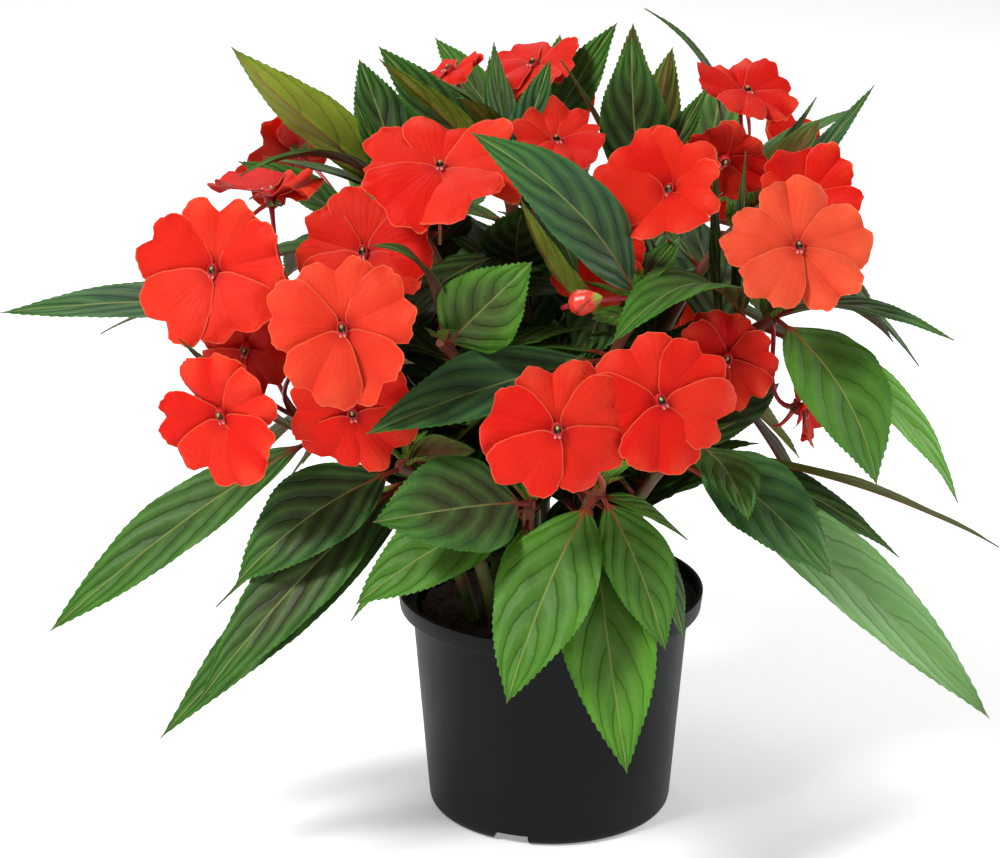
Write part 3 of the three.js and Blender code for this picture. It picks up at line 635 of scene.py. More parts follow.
STEMS = {
    "low_left": stem((-22, -22), (-62, -55, 171), [
        leaf(0.97, (-127, -75, 128), 34, (16, 14), (0, -0.7, 0.7), "dark"),
        leaf(0.9, (-141, -95, 86), 30, (10, 8), (-0.2, -0.75, 0.55), "bronze"),
        leaf(0.8, (-160, -72, 59), 28, (6, 8), (-0.2, -0.6, 0.7), "bronze"),
        leaf(0.85, (-139, -38, 103), 15, (12, 8), (-0.3, 0, 1), "light"),
        leaf(1, (-31, -68, 182), 15, (8, 4), (0, 0.85, 0.5), "olive"),
    ]),
    "left_lower": stem((-31, -13), (-96, -28, 178), [
        leaf(0.96, (-205, -60, 101), 28, (16, 12), (-0.1, -0.6, 0.8), "green"),
        leaf(0.9, (-146, -80, 232), 22, (-14, -6), (0.2, 0.1, 1), "dark"),
        leaf(1, (-93, -66, 204), 9, (2, 2), (0, -0.8, 0.5), "wilted"),
    ], [
        flower(0.98, (-129, -85, 203), (-0.35, -0.9, -0.1), 56, 20),
        flower(1, (-123, -42, 217), (-0.2, -0.85, -0.3), 40, -10),
        flower(0.95, (-79, -82, 203), (0.05, -0.95, -0.15), 50, 10),
        flower(1, (-81, -100, 242), (-0.1, -0.97, 0.2), 60, 8),
    ]),
    "left": stem((-25, -2), (-102, -32, 234), [
        leaf(0.66, (-142, 32, 120), 32, (16, 14), (-0.3, 0.1, 0.9), "green"),
        leaf(0.92, (-224, -25, 226), 20, (12, 8), (0, -0.5, 0.85), "teal"),
        leaf(0.85, (-186, -8, 212), 12, (16, 18), (0, 0.2, 1), "grey"),
    ], [
        flower(0.98, (-133, -58, 253), (-0.32, -0.9, 0.25), 64, 0),
        flower(0.95, (-114, -16, 272), (-0.1, 0.12, 1), 48, 40),
    ]),
    "high_left": stem((-16, 2), (-64, -5, 268), [
        leaf(0.72, (-136, 34, 168), 32, (16, 14), (-0.3, 0.1, 0.9), "green"),
        leaf(0.88, (-129, -5, 331), 32, (8, -6), (0.4, 0.75, 0.5), "wilted"),
        leaf(0.94, (-79, 15, 322), 24, (3, 0), (0.3, -0.85, 0.2), "dark"),
        leaf(0.99, (-79, -15, 310), 10, (2, 0), (0.3, -0.7, 0.3), "green"),
        leaf(0.79, (-119, 15, 281), 14, (20, 10), (0, 0.1, 1), "dark"),
        leaf(0.91, (-125, -30, 284), 18, (22, 24), (0, 0.2, 1), "bronze"),
    ], [
        flower(0.975, (-45, -45, 290), (0, -0.52, 0.85), 68, 0),
        flower(0.84, (-75, -50, 258), (-0.15, -0.9, 0.4), 56, 0),
    ]),
    "top_left": stem((-6, 4), (-19, 12, 274), [
        leaf(0.98, (-71, 12, 328), 20, (8, 6), (-0.2, -0.75, 0.5), "dark"),
        leaf(0.9, (-70, -5, 326), 15, (8, 4), (0.2, 0.6, 0.5), "light"),
        leaf(0.96, (-24, 25, 327), 14, (3, -3), (0.5, -0.6, 0.1), "green"),
        leaf(0.87, (-26, 42, 318), 13, (3, 0), (0, -0.9, 0.1), "dark"),
        leaf(0.93, (-47, -10, 319), 13, (14, 12), (0.3, 0, 1), "green"),
        leaf(1, (-39, -22, 314), 13, (10, 10), (0, 0.3, 1), "bright"),
        leaf(0.94, (-1, 14, 322), 15, (2, 0), (-0.2, -0.9, 0.1), "teal"),
        leaf(0.84, (9, -58, 250), 15, (14, 14), (0.1, 0, 1), "dark"),
        leaf(0.7, (-12, -14, 268), 28, (4, 2), (-0.1, -1, 0.1), "dark"),
    ], [
        flower(0.96, (1, -8, 292), (0.1, -0.6, 0.8), 39, 15),
    ]),
    "top": stem((8, 2), (37, 2, 262), [
        leaf(0.7, (96, 34, 226), 28, (12, 10), (0.2, 0.1, 1), "green"),
        leaf(1, (31, -10, 336), 27, (-3, 2), (-0.15, -1, 0.1), "dark"),
        leaf(0.93, (33, 25, 335), 22, (4, 0), (0.2, 0.9, 0.2), "bronze"),
        leaf(0.9, (49, 20, 326), 22, (2, -2), (0, 0.9, 0.2), "olive"),
        leaf(0.96, (62, -5, 315), 12, (3, 2), (-0.2, -0.8, 0.4), "dark"),
        leaf(0.87, (3, 14, 322), 10, (10, 8), (0.4, 0.2, 0.9), "bronze"),
        leaf(0.74, (10, -36, 206), 26, (14, 10), (0, -0.6, 0.8), "dark"),
    ], [
        flower(0.97, (46, -42, 281), (-0.4, -0.8, 0.45), 50, -20),
        flower(0.85, (18, -24, 250), (-0.1, -0.95, 0.2), 40, 10),
    ]),
    "high_right": stem((19, 2), (80, -4, 260), [
        leaf(0.74, (136, 34, 150), 32, (16, 14), (0.3, 0.1, 0.9), "green"),
        leaf(0.62, (118, 30, 100), 30, (14, 12), (0.4, 0, 0.9), "dark"),
        leaf(0.92, (132, 20, 310), 12, (-6, -6), (-0.4, -0.5, 0.7), "teal"),
        leaf(1, (108, 0, 300), 20, (3, 0), (-0.2, 0.8, 0.5), "olive"),
        leaf(0.96, (109, 25, 304), 11, (3, 0), (-0.5, 0, 0.8), "bronze"),
    ], [
        flower(1, (101, -28, 275), (0.1, -0.8, 0.6), 42, 20),
        flower(0.98, (79, 15, 307), (0.2, -0.5, 0.85), 44, 0),
        flower(0.93, (69, -12, 287), (-0.1, -0.9, -0.35), 38, -40),
    ]),
    "right": stem((27, -8), (89, -32, 226), [
        leaf(1, (128, -70, 168), 38, (20, 24), (0.1, -0.5, 0.85), "fresh"),
        leaf(0.94, (167, -30, 146), 24, (22, 20), (0.2, -0.4, 0.9), "lime"),
        leaf(0.88, (143, 10, 203), 26, (26, 20), (0.2, 0, 1), "dark"),
        leaf(1, (156, -70, 228), 12, (16, 10), (0, -0.2, 1), "grey"),
        leaf(0.86, (76, -29, 294), 9, (2, 1), (-0.9, -0.3, 0), "dark"),
        leaf(0.8, (65, -25, 293), 11, (2, 2), (-0.9, -0.3, 0.1), "dark"),
        leaf(0.91, (21, -95, 234), 32, (34, 24), (-0.1, -0.2, 1), "green"),
    ], [
        flower(0.9, (69, -56, 217), (-0.2, -0.95, -0.1), 42, 0),
        flower(0.95, (99, -46, 192), (0.9, -0.35, -0.1), 30, 0),
        flower(0.98, (94, -65, 264), (0.1, -0.85, 0.5), 59, 0),
    ]),
    "middle_right": stem((7, -12), (36, -56, 240), [
        leaf(0.95, (-33, -65, 310), 30, (22, 22), (0.4, -0.75, 0.43), "teal"),
        leaf(0.85, (-14, -60, 283), 22, (-14, -8), (0.8, 0.5, 0.3), "bright"),
        leaf(0.92, (14, -74, 238), 8, (2, 0), (0, -0.6, 0.5), "young"),
        leaf(0.99, (24, -62, 256), 8, (2, 0), (0, -0.6, 0.5), "young"),
        leaf(0.72, (-73, -105, 201), 32, (8, 6), (-0.1, -0.6, 0.8), "teal"),
    ], buds=[
        flower(0.97, (6, -76, 244), (0.85, -0.35, 0.35), 14),
    ]),
    "middle_left": stem((-9, -12), (-45, -52, 222), [
        leaf(0.97, (-9, -85, 264), 32, (8, 6), (0.3, -0.75, 0.5), "olive"),
        leaf(0.98, (-71, -84, 270), 16, (10, 20), (0.6, 0.1, 0.7), "dark"),
    ]),
    "front": stem((5, -28), (18, -85, 171), [
        leaf(0.95, (-19, -130, 100), 38, (14, 10), (-0.3, -0.8, 0.5), "fresh"),
        leaf(0.8, (28, -125, 68), 37, (16, 10), (0.1, -0.85, 0.5), "mellow"),
        leaf(0.97, (43, -110, 114), 26, (12, 8), (0.2, -0.8, 0.5), "fresh"),
        leaf(0.85, (52, -75, 104), 18, (16, 14), (0.4, -0.5, 0.7), "dark"),
        leaf(0.9, (54, -60, 141), 11, (6, 4), (0, -0.3, 1), "light"),
    ], [
        flower(1, (0, -125, 210), (0, -0.97, 0.2), 58, 0),
    ]),
    "low_right": stem((20, -22), (56, -60, 181), [
        leaf(1, (74, -110, 168), 24, (8, 6), (0.2, -0.4, 0.85), "green"),
        leaf(0.95, (109, -95, 138), 34, (12, 10), (0.2, -0.7, 0.7), "grey"),
        leaf(0.86, (178, -70, 67), 34, (18, 14), (0.3, -0.6, 0.7), "painted_sheen"),
        leaf(0.9, (143, -35, 124), 20, (12, 10), (0.2, -0.3, 0.9), "dark"),
        leaf(0.97, (187, -18, 122), 20, (8, 10), (0.1, 0.3, 1), "grey"),
        leaf(0.82, (95, 0, 188), 24, (10, 6), (0, -0.5, 0.8), "dark"),
    ], [
        flower(1, (39, -115, 218), (0.15, -0.95, 0.25), 58, 30),
    ]),
    "front_left": stem((-10, -27), (-10, -78, 163), [
        leaf(1, (-70, -115, 169), 42, (10, 6), (-0.1, -0.75, 0.65), "purple"),
        leaf(0.92, (-78, -100, 129), 32, (12, 10), (-0.2, -0.7, 0.7), "fresh"),
        leaf(0.87, (-81, -80, 114), 16, (16, 14), (-0.6, -0.3, 0.7), "pale"),
        leaf(0.8, (-22, -88, 104), 14, (10, 6), (0, -0.9, 0.4), "light"),
        leaf(0.95, (-66, -72, 156), 26, (8, 6), (-0.1, -0.5, 0.85), "olive"),
    ]),
    "back_left": stem((-20, 18), (-78, 62, 235), [
        leaf(0.97, (-152, 80, 205), 30, (10, 8), (-0.2, 0.1, 1), "green"),
        leaf(0.95, (-120, 135, 195), 30, (16, 12), (-0.2, 0.4, 0.9), "dark"),
        leaf(1, (-68, 105, 290), 24, (4, 2), (0, -0.7, 0.5), "olive"),
        leaf(1, (-132, 45, 272), 22, (4, 2), (0.3, -0.4, 0.8), "green"),
        leaf(0.85, (-165, 105, 140), 30, (18, 12), (-0.3, 0.3, 0.9), "dark"),
        leaf(0.85, (-90, 145, 140), 30, (18, 12), (-0.1, 0.6, 0.8), "green"),
    ], [
        flower(1, (-112, 92, 266), (-0.7, 0.6, 0.4), 56, 0),
    ]),
    "back_top": stem((-2, 14), (-10, 82, 262), [
        leaf(0.72, (-4, 142, 146), 28, (16, 12), (0, 0.5, 0.9), "dark"),
        leaf(0.78, (-62, 110, 186), 30, (16, 12), (-0.2, 0.4, 0.9), "green"),
        leaf(0.97, (28, 62, 328), 20, (6, 4), (0.2, -0.6, 0.7), "green"),
        leaf(0.99, (-50, 110, 312), 22, (4, 2), (0.2, -0.4, 0.8), "olive"),
        leaf(0.95, (-38, 150, 245), 28, (14, 10), (0, 0.4, 0.9), "green"),
        leaf(0.95, (16, 160, 228), 28, (16, 12), (0, 0.5, 0.9), "dark"),
        leaf(0.91, (5, 118, 312), 22, (4, 2), (0, -0.7, 0.5), "green"),
    ], [
        flower(0.88, (-7, 60, 309), (-0.3, -0.45, 0.85), 42, 0),
        flower(0.97, (-8, 138, 276), (-0.15, 0.85, 0.5), 58, 0),
        flower(0.95, (-42, 52, 308), (-0.5, -0.2, 0.85), 30, 30),
    ]),
    "back_right": stem((18, 18), (68, 66, 248), [
        leaf(1, (132, 60, 292), 24, (8, 4), (-0.2, 0, 1), "green"),
        leaf(0.95, (150, 112, 185), 30, (10, 8), (0.2, 0.2, 1), "dark"),
        leaf(1, (78, 125, 292), 22, (6, 4), (0, -0.3, 1), "olive"),
        leaf(0.9, (100, 145, 175), 30, (18, 12), (0.2, 0.5, 0.8), "green"),
        leaf(0.9, (160, 50, 180), 30, (22, 16), (0.3, 0.1, 0.9), "dark"),
        leaf(1, (38, 35, 339), 9, (20, 30), (0.7, -0.3, 0.6), "dark"),
    ], [
        flower(1, (114, 102, 256), (0.7, 0.65, 0.3), 54, 0),
        flower(0.97, (60, 124, 244), (0.25, 0.9, 0.3), 54, 10),
    ]),
    "low_back": stem((8, 27), (34, 100, 180), [
        leaf(1, (78, 168, 120), 32, (16, 12), (0.3, 0.6, 0.7), "green"),
        leaf(0.97, (22, 178, 118), 32, (16, 12), (0, 0.7, 0.7), "dark"),
        leaf(0.9, (118, 130, 110), 30, (18, 14), (0.5, 0.4, 0.8), "olive"),
        leaf(0.85, (45, 130, 80), 26, (16, 10), (0.2, 0.8, 0.5), "green"),
    ], [
        flower(1, (52, 142, 192), (0.35, 0.9, 0.15), 58, 0),
    ]),
    "low_back_left": stem((-10, 28), (-42, 100, 176), [
        leaf(1, (-62, 175, 108), 32, (16, 12), (-0.1, 0.7, 0.7), "dark"),
        leaf(0.97, (-115, 150, 100), 32, (18, 12), (-0.4, 0.5, 0.8), "green"),
        leaf(0.9, (-118, 100, 110), 28, (18, 12), (-0.6, 0.2, 0.8), "green"),
        leaf(0.85, (-35, 135, 75), 24, (16, 10), (0, 0.8, 0.5), "olive"),
    ], [
        flower(1, (-52, 142, 188), (-0.3, 0.9, 0.15), 58, 0),
    ]),
}


def stem_point(item, t):
    """A point of a stem's middle line, from its foot at 0 to its tip at 1."""
    return bow(item["foot"], item["bend"], item["tip"], t)


def stem_heading(item, t):
    return ((item["bend"] - item["foot"]) * (1 - t) + (item["tip"] - item["bend"]) * t).normalized()


def arc_points(handles, steps):
    """Points along a curve that starts and ends at the outer two of its four handles."""
    first, second, third, last = handles
    made = []
    for k in range(steps + 1):
        t = k / steps
        made.append(first * (1 - t) ** 3 + second * (3 * t * (1 - t) ** 2)
                    + third * (3 * t ** 2 * (1 - t)) + last * t ** 3)
    return made


def stalk_handles(item, bloom, back_length):
    """The four handles of a flower's stalk, which meets the back of the flower along its own axis."""
    start = stem_point(item, bloom["on"])
    back = bloom["at"] - bloom["face"] * (back_length + CLEARANCE)
    reach = (back - start).length * 0.45
    return start, start + stem_heading(item, bloom["on"]) * reach, back - bloom["face"] * reach, back


def leaf_scars(t, leaves):
    """The share by which a stem is thicker at t, where its leaves grow out of it."""
    return 1 + sum(SCAR_SWELL * math.exp(-((t - item["on"]) / SCAR_REACH) ** 2) for item in leaves)


def taper(radii, t):
    """The radius at t of something that runs from one radius at 0 to another at 1."""
    return radii[0] + (radii[1] - radii[0]) * t


def carried(tree, name, output="Fac"):
    """A number that the mesh itself carries, or by the output Vector a vector, read in a material."""
    return place_node(tree, "ShaderNodeAttribute", output=output, attribute_name=name)


stem_skin, tree, shader = new_material("stem_skin", Specular_IOR_Level=0.45)
reach = carried(tree, "reach")
at = object_place(tree)
flush = noise(tree, at.of("multiply", (1, 1, 0.25)), 420, 3)
blotches = noise(tree, at, 130, 2)
green = mix_colour(flush, (0.055, 0.105, 0.020), (0.105, 0.160, 0.034))
red = mix_colour(flush, (0.105, 0.020, 0.012), (0.21, 0.042, 0.022))
flushed = (blotches * 0.9 + reach * 0.35).rise(0.35, 0.85)
plug(tree, mix_colour(flushed, green, red), shader.inputs["Base Color"])
plug(tree, 0.36 + 0.2 * flush, shader.inputs["Roughness"])
bump(tree, shader, flush, 0.00025, 0.7)
flower_stalk, tree, shader = new_material("flower_stalk", roughness=0.38, Subsurface_Weight=0.12,
                                          Subsurface_Scale=0.002)
reach = carried(tree, "reach")
flush = noise(tree, object_place(tree), 300, 2)
deep = mix_colour(flush, (0.30, 0.012, 0.022), (0.52, 0.03, 0.045))
plug(tree, mix_colour(reach.rise(0.0, 0.35), (0.26, 0.09, 0.03), deep), shader.inputs["Base Color"])
bump(tree, shader, flush, 0.0001, 0.5)

# The leaves: thin lance-shaped blades on short fleshy stalks, with a drawn-out tip, a finely toothed edge and
# a skin that bulges between the veins. Each is a closed blade that follows its own arched midrib.
LEAF_THICKNESS = 0.55
LEAF_STALK_SHARE = 0.1
LEAF_STALK_HALF_WIDTH = 1.0
LEAF_STALK_THICKNESS = 1.9
LEAF_FOLD = 0.16
# How fast a blade widens from its stalk, and how long it draws out towards its tip
LEAF_OUTLINE = (0.9, 1.22)
LEAF_RIB_WIDTH = 0.75
LEAF_RIB_GROOVE = 0.12
LEAF_RIB_RIDGE = 0.75
LEAF_WELD = 0.02
LEAF_ROWS = 64
LEAF_AROUND = 24
TOOTH_SIZE = 0.32
VEIN_PAIRS = 4.8
VEIN_SWEEP = 2.1
RIPPLE_SHARE = 0.05
# The small leaves of each stem: the shaded ones further down, and then the young ones round its tip. Slopes
# are in degrees, and widths are shares of the length.
SMALL_LEAVES = [
    {"count": 9, "shaded": True, "on": (0.36, 0.88), "length": (48, 84), "slope": (-25, 45),
     "width": (0.3, 0.38), "looks": ("dark", "dark", "green", "olive", "bronze")},
    {"count": 4, "shaded": False, "on": (0.93, 1.0), "length": (14, 30), "slope": (25, 80),
     "width": (0.22, 0.3), "looks": ("young", "bright")},
]
SMALL_TRIES = 14
SMALL_ROWS = 26
SMALL_AROUND = 12
SMALL_ARCH = (0.13, 0.1)
LEAF_SPIRAL = math.radians(137.5)
BLOOM_ROOM = 4
# The room inside the plant that the shaded leaves keep to
SHADE_CENTRE = (-18, 28, 185)
SHADE_REACH = (124, 98, 96)


def keep(geometry, name, value, domain="POINT"):
    """Stores a number or vector on the mesh under a name."""
    kind = "FLOAT_VECTOR" if value.is_vector else "FLOAT"
    return place_node(geometry.tree, "GeometryNodeStoreNamedAttribute",
                      {"Geometry": geometry, "Name": name, "Value": value}, data_type=kind, domain=domain)


def split(vector):
    """The three numbers of a vector."""
    node = vector.tree.nodes.new("ShaderNodeSeparateXYZ")
    plug(vector.tree, vector, node.inputs[0])
    return [Term(vector.tree, socket) for socket in node.outputs]


def leaf_tree():
    """A leaf on every point, shaped by the point's own midrib, width and turn."""
    tree, given, result = new_tree(
        "leaf_blades", Rows=LEAF_ROWS, Around=LEAF_AROUND, Thickness=1.0, Stalk_half_width=1.0,
        Stalk_thickness=1.0, Tooth_size=1.0, Ripple_share=0.1, Material="NodeSocketMaterial")
    roll = place_node(tree, "GeometryNodeMeshCylinder", {
        "Vertices": given["Around"], "Side Segments": given["Rows"], "Radius": 1.0, "Depth": 1.0})
    x, y, z = split(place_node(tree, "GeometryNodeInputPosition"))
    roll = keep(roll, "upper", y.of("greater than", 0.0), "FACE")
    turn = y.of("arctan2", x) * (1 / math.pi)
    swing = turn.of("absolute")
    roll = keep(roll, "layer", y.of("sign") * swing.rise(0.0, 0.01) * (1 - swing.rise(0.99, 1.0)))
    flat = 1 - 2 * swing
    roll = keep(roll, "share", flat.of("sign") * flat.of("absolute") ** 1.35)
    roll = keep(roll, "stretch", 0.5 - z)
    blades = place_node(tree, "GeometryNodeInstanceOnPoints", {"Points": given["Geometry"], "Instance": roll})
    blades = place_node(tree, "GeometryNodeRealizeInstances", {"Geometry": blades})

    number = {name: attribute(tree, name) for name in
              ("width", "fold", "sway", "twist", "seed", "share", "stretch", "layer")}
    point = {name: attribute(tree, name, "FLOAT_VECTOR") for name in ("root", "low", "high", "tip", "side")}
    s, share = number["stretch"], number["share"]
    size = share.of("absolute")
    along = ((s - LEAF_STALK_SHARE) / (1 - LEAF_STALK_SHARE)).of("maximum", 0.0).of("minimum", 1.0)

    # The midrib's curve, and the two ways that the blade spreads from it
    rest = 1 - s
    midrib = (point["root"] * (rest ** 3) + point["low"] * (3 * s * rest ** 2)
              + point["high"] * (3 * s ** 2 * rest) + point["tip"] * (s ** 3))
    midrib = midrib + point["side"] * (number["sway"] * 4 * s * rest)
    heading = ((point["low"] - point["root"]) * (rest ** 2) + (point["high"] - point["low"]) * (2 * s * rest)
               + (point["tip"] - point["high"]) * (s ** 2)).of("normalize")
    side = place_node(tree, "ShaderNodeVectorRotate", {
        "Vector": point["side"], "Axis": heading, "Angle": number["twist"] * (2 * s - 1)})
    up = side.of("cross product", heading)

    # The outline, with a saw tooth on every second row of its edge
    start, end = LEAF_OUTLINE
    widest = start / (start + end)
    outline = along ** start * (1 - along) ** end / (widest ** start * (1 - widest) ** end)
    waver = noise(tree, place_node(tree, "ShaderNodeCombineXYZ", {
        "X": along * 3.2, "Y": share.of("sign") + number["seed"] * 7, "Z": number["seed"]}), 1.0, 1) - 0.5
    half = number["width"] * 0.5 * outline * (1 + 0.16 * waver) + given["Stalk half width"] * (1 - along)
    toothed = along.rise(0.06, 0.16) * (1 - along.rise(0.93, 0.99))
    edge = size.of("greater than", 0.995)
    row = s * given["Rows"]
    tooth = (row * (math.pi / 2)).of("sine") ** 2 * toothed * edge * given["Tooth size"]

    # The section across: a valley along the midrib, waves towards the edge, and a thicker stalk
    off = half * size
    rib = ((off / (LEAF_RIB_WIDTH * MM)) ** 2 * -1).of("exponent") * (1 - along.rise(0.7, 1.0))
    valley = half * number["fold"] * (1.5 * size - 0.5 * size ** 3)
    wave = place_node(tree, "ShaderNodeCombineXYZ", {
        "X": along * 4.6 + number["seed"] * 3, "Y": share.of("sign") * 2, "Z": number["seed"] * 5})
    ripple = (noise(tree, wave, 1.0, 1) - 0.5) * size ** 2 * number["width"] * given["Ripple share"] * 3
    ripple = ripple * along.rise(0.0, 0.25) * (1 - along.rise(0.85, 1.0))
    fleshy = 1 - along.rise(0.0, 0.12)
    thick = given["Thickness"] + (given["Stalk thickness"] - given["Thickness"]) * fleshy
    under = number["layer"].of("less than", 0.0)
    height = valley + ripple + number["layer"] * thick * 0.5 * (1 - size ** 4)
    height = height - rib * (1 - fleshy) * (LEAF_RIB_GROOVE * MM + LEAF_RIB_RIDGE * MM * under)
    place = midrib + side * (share * half + share.of("sign") * tooth) + up * height
    place = place + heading * (tooth * 2.6)
    blades = keep(blades, "blade", place_node(tree, "ShaderNodeCombineXYZ", {
        "X": along, "Y": share, "Z": off / MM}))
    blades = keep(blades, "edge", half * (1 - size) / MM)
    blades = place_node(tree, "GeometryNodeSetPosition", {"Geometry": blades, "Position": place})
    blades = place_node(tree, "GeometryNodeMergeByDistance", {"Geometry": blades, "Distance": LEAF_WELD * MM})
    dressed(smoothed(blades, 1.3), given["Material"], result)
    return tree


def shader_group(name, inputs, outputs):
    """An empty shader node group, given back with its inputs as terms and its outputs' sockets by name."""
    group = bpy.data.node_groups.new(name, "ShaderNodeTree")
    for label, kind in inputs.items():
        group.interface.new_socket(label, in_out="INPUT", socket_type=f"NodeSocket{kind}")
    for label, kind in outputs.items():
        group.interface.new_socket(label, in_out="OUTPUT", socket_type=f"NodeSocket{kind}")
    start, end = group.nodes.new("NodeGroupInput"), group.nodes.new("NodeGroupOutput")
    return group, {label: Term(group, start.outputs[label]) for label in inputs}, end.inputs


def use_group(tree, group, inputs, outputs):
    """Places a node group in a material and gives back some of its outputs by name."""
    node = tree.nodes.new("ShaderNodeGroup")
    node.node_tree = group
    for label, value in inputs.items():
        plug(tree, value, node.inputs[label])
    return [Term(tree, node.outputs[label]) for label in outputs]


def layered(base, *layers):
    """A colour with others laid over it in turn, each by its share from 0 to 1."""
    for share, colour in layers:
        base = mix_colour(share, base, colour)
    return base


# The veins of a leaf: from its place along and across the blade to masks of its midrib, side veins and rim
VEINS, given, out = shader_group(
    "leaf_veins", {"Blade": "Vector", "Edge": "Float", "Wobble": "Float", "Rim width": "Float"},
    {"Midrib": "Float", "Side veins": "Float", "Bulge": "Float", "Rim": "Float", "Centre": "Float"})
along, across, off = split(given["Blade"])
phase = VEIN_PAIRS * along ** 0.9 - VEIN_SWEEP * across.of("absolute") ** 1.3
phase = phase + 0.45 * across.of("greater than", 0.0) + (given["Wobble"] - 0.5) * 0.3
near = (phase - (phase + 0.5).of("floor")).of("absolute")
inside = across.of("absolute").rise(0.0, 0.12) * (1 - across.of("absolute").rise(0.75, 0.97))
plug(VEINS, 1 - off.rise(0.1, 0.7 - 0.35 * along), out["Midrib"])
plug(VEINS, (1 - near.rise(0.0, 0.085)) * inside * (1 - along.rise(0.8, 0.97)), out["Side veins"])
plug(VEINS, (near * 2) ** 0.65, out["Bulge"])
plug(VEINS, 1 - given["Edge"].rise(given["Rim width"] * 0.15, given["Rim width"]), out["Rim"])
plug(VEINS, (1 - across.of("absolute").rise(0.3, 1.0)) * (1 - along.rise(0.55, 0.95)), out["Centre"])

# The skin of a leaf close up: a fine net of veinlets and small patches of lighter and darker green
SKIN, given, out = shader_group("leaf_skin", {"Place": "Vector", "Seed": "Float"},
                                {"Net": "Float", "Patches": "Float", "Wobble": "Float"})
cells = place_node(SKIN, "ShaderNodeTexVoronoi", {"Vector": given["Place"], "Scale": 620.0},
                   feature="DISTANCE_TO_EDGE")
plug(SKIN, cells.rise(0.0, 0.22), out["Net"])
shifted = given["Place"] + place_node(SKIN, "ShaderNodeCombineXYZ", {"X": given["Seed"]})
plug(SKIN, noise(SKIN, shifted, 75.0, 4, 0.6), out["Patches"])
plug(SKIN, noise(SKIN, shifted, 160.0, 2), out["Wobble"])

leaf_skin, tree, shader = new_material("leaf_skin", Specular_IOR_Level=0.22)
blade = carried(tree, "blade", "Vector")
edge = carried(tree, "edge")
upper = carried(tree, "upper").of("greater than", 0.5)
bronze, light, sheen = split(carried(tree, "look", "Vector"))
seed = carried(tree, "seed")
net, patches, wobble = use_group(tree, SKIN, {"Place": object_place(tree), "Seed": seed},
                                 ("Net", "Patches", "Wobble"))
midrib, side_veins, bulge, rim, centre = use_group(
    tree, VEINS, {"Blade": blade, "Edge": edge, "Wobble": wobble, "Rim width": 1.6},
    ("Midrib", "Side veins", "Bulge", "Rim", "Centre"))
along = split(blade)[0]
tone = (light + (patches - 0.5) * 0.5).of("maximum", 0.0)

# Painted sheen: a grey-blue reflection laid over the upper side by the look's sheen, darker on dark leaves
# and paler on light ones
painted_sheen = mix_colour(tone.rise(0.5, 1.3), (0.030, 0.082, 0.060), (0.270, 0.450, 0.215))
rib = mix_colour(along.rise(0.02, 0.36), (0.36, 0.045, 0.018), (0.26, 0.30, 0.09))
top = layered(
    mix_colour(tone.rise(0.0, 1.3), (0.012, 0.046, 0.005), (0.148, 0.450, 0.022)),
    # Painted sheen over the upper side
    (sheen * (0.4 + 0.5 * patches), painted_sheen),
    (bronze * centre * (0.5 + 0.5 * patches), (0.056, 0.038, 0.021)),
    (centre * 0.2, (0.010, 0.022, 0.006)),
    (along.rise(0.55, 1.0) * 0.4, (0.062, 0.220, 0.012)),
    # Painted highlight on the bulges between the veins
    (bulge ** 3 * 0.7 * patches, (0.118, 0.280, 0.055)),
    # Painted shade along the sunken side veins
    (side_veins * 0.4, (0.008, 0.032, 0.005)),
    (rim * 0.35, (0.050, 0.190, 0.015)),
    (midrib * 0.8, rib))
low = layered(
    mix_colour(tone.rise(0.0, 1.4), (0.050, 0.042, 0.012), (0.230, 0.310, 0.022)),
    (bronze * centre * 0.7, (0.085, 0.019, 0.012)),
    (side_veins * 0.45, (0.150, 0.070, 0.030)),
    (rim * 0.55, (0.090, 0.220, 0.020)),
    (midrib * 0.9, (0.270, 0.028, 0.020)))
leaf_stalk = 1 - along.rise(0.0, 0.06)
plug(tree, layered(low, (upper, top), (leaf_stalk, (0.30, 0.038, 0.018))), shader.inputs["Base Color"])
plug(tree, 0.62 - 0.12 * upper + 0.16 * (patches - 0.5), shader.inputs["Roughness"])
relief = bulge * 0.85 - side_veins * 0.15 + patches * 0.3 + net * 0.03
bump(tree, shader, relief, 0.0011, 0.75)


def leaf_mesh(name, item, leaves, rows, around, draw):
    """Leaves of one stem as one plain mesh."""
    columns = {label: [] for label in
               ("root", "low", "high", "tip", "side", "look", "width", "fold", "sway", "twist", "seed")}
    for blade in leaves:
        root = stem_point(item, blade["on"])
        chord = blade["tip"] - root
        way = chord.normalized()
        lift = (blade["face"] - way * blade["face"].dot(way)).normalized()
        side = way.cross(lift)
        columns["root"].append(root * MM)
        columns["low"].append((root + chord / 3 + lift * blade["arch"][0]) * MM)
        columns["high"].append((root + chord * 2 / 3 + lift * blade["arch"][1]) * MM)
        columns["tip"].append(blade["tip"] * MM)
        columns["side"].append(side)
        columns["look"].append(LEAF_LOOKS[blade["look"]])
        columns["width"].append(blade["width"] * MM)
        columns["fold"].append(LEAF_FOLD * draw.uniform(0.8, 1.3))
        columns["sway"].append(blade["width"] * draw.uniform(-0.07, 0.07) * MM)
        columns["twist"].append(math.radians(draw.uniform(-9, 9)))
        columns["seed"].append(draw.random())
    return grown(points_with(name, len(leaves), **columns), LEAF_BLADES, Rows=rows, Around=around,
                 Thickness=LEAF_THICKNESS * MM, Stalk_half_width=LEAF_STALK_HALF_WIDTH * MM,
                 Stalk_thickness=LEAF_STALK_THICKNESS * MM, Tooth_size=TOOTH_SIZE * MM,
                 Ripple_share=RIPPLE_SHARE, Material=leaf_skin)


def is_shaded(tip):
    """Whether a leaf's tip stays in the shade inside the plant, above the pot."""
    off = [(a - b) / c for a, b, c in zip(tip, SHADE_CENTRE, SHADE_REACH)]
    return Vector(off).length < 1 and tip.z > POT_HEIGHT + 4


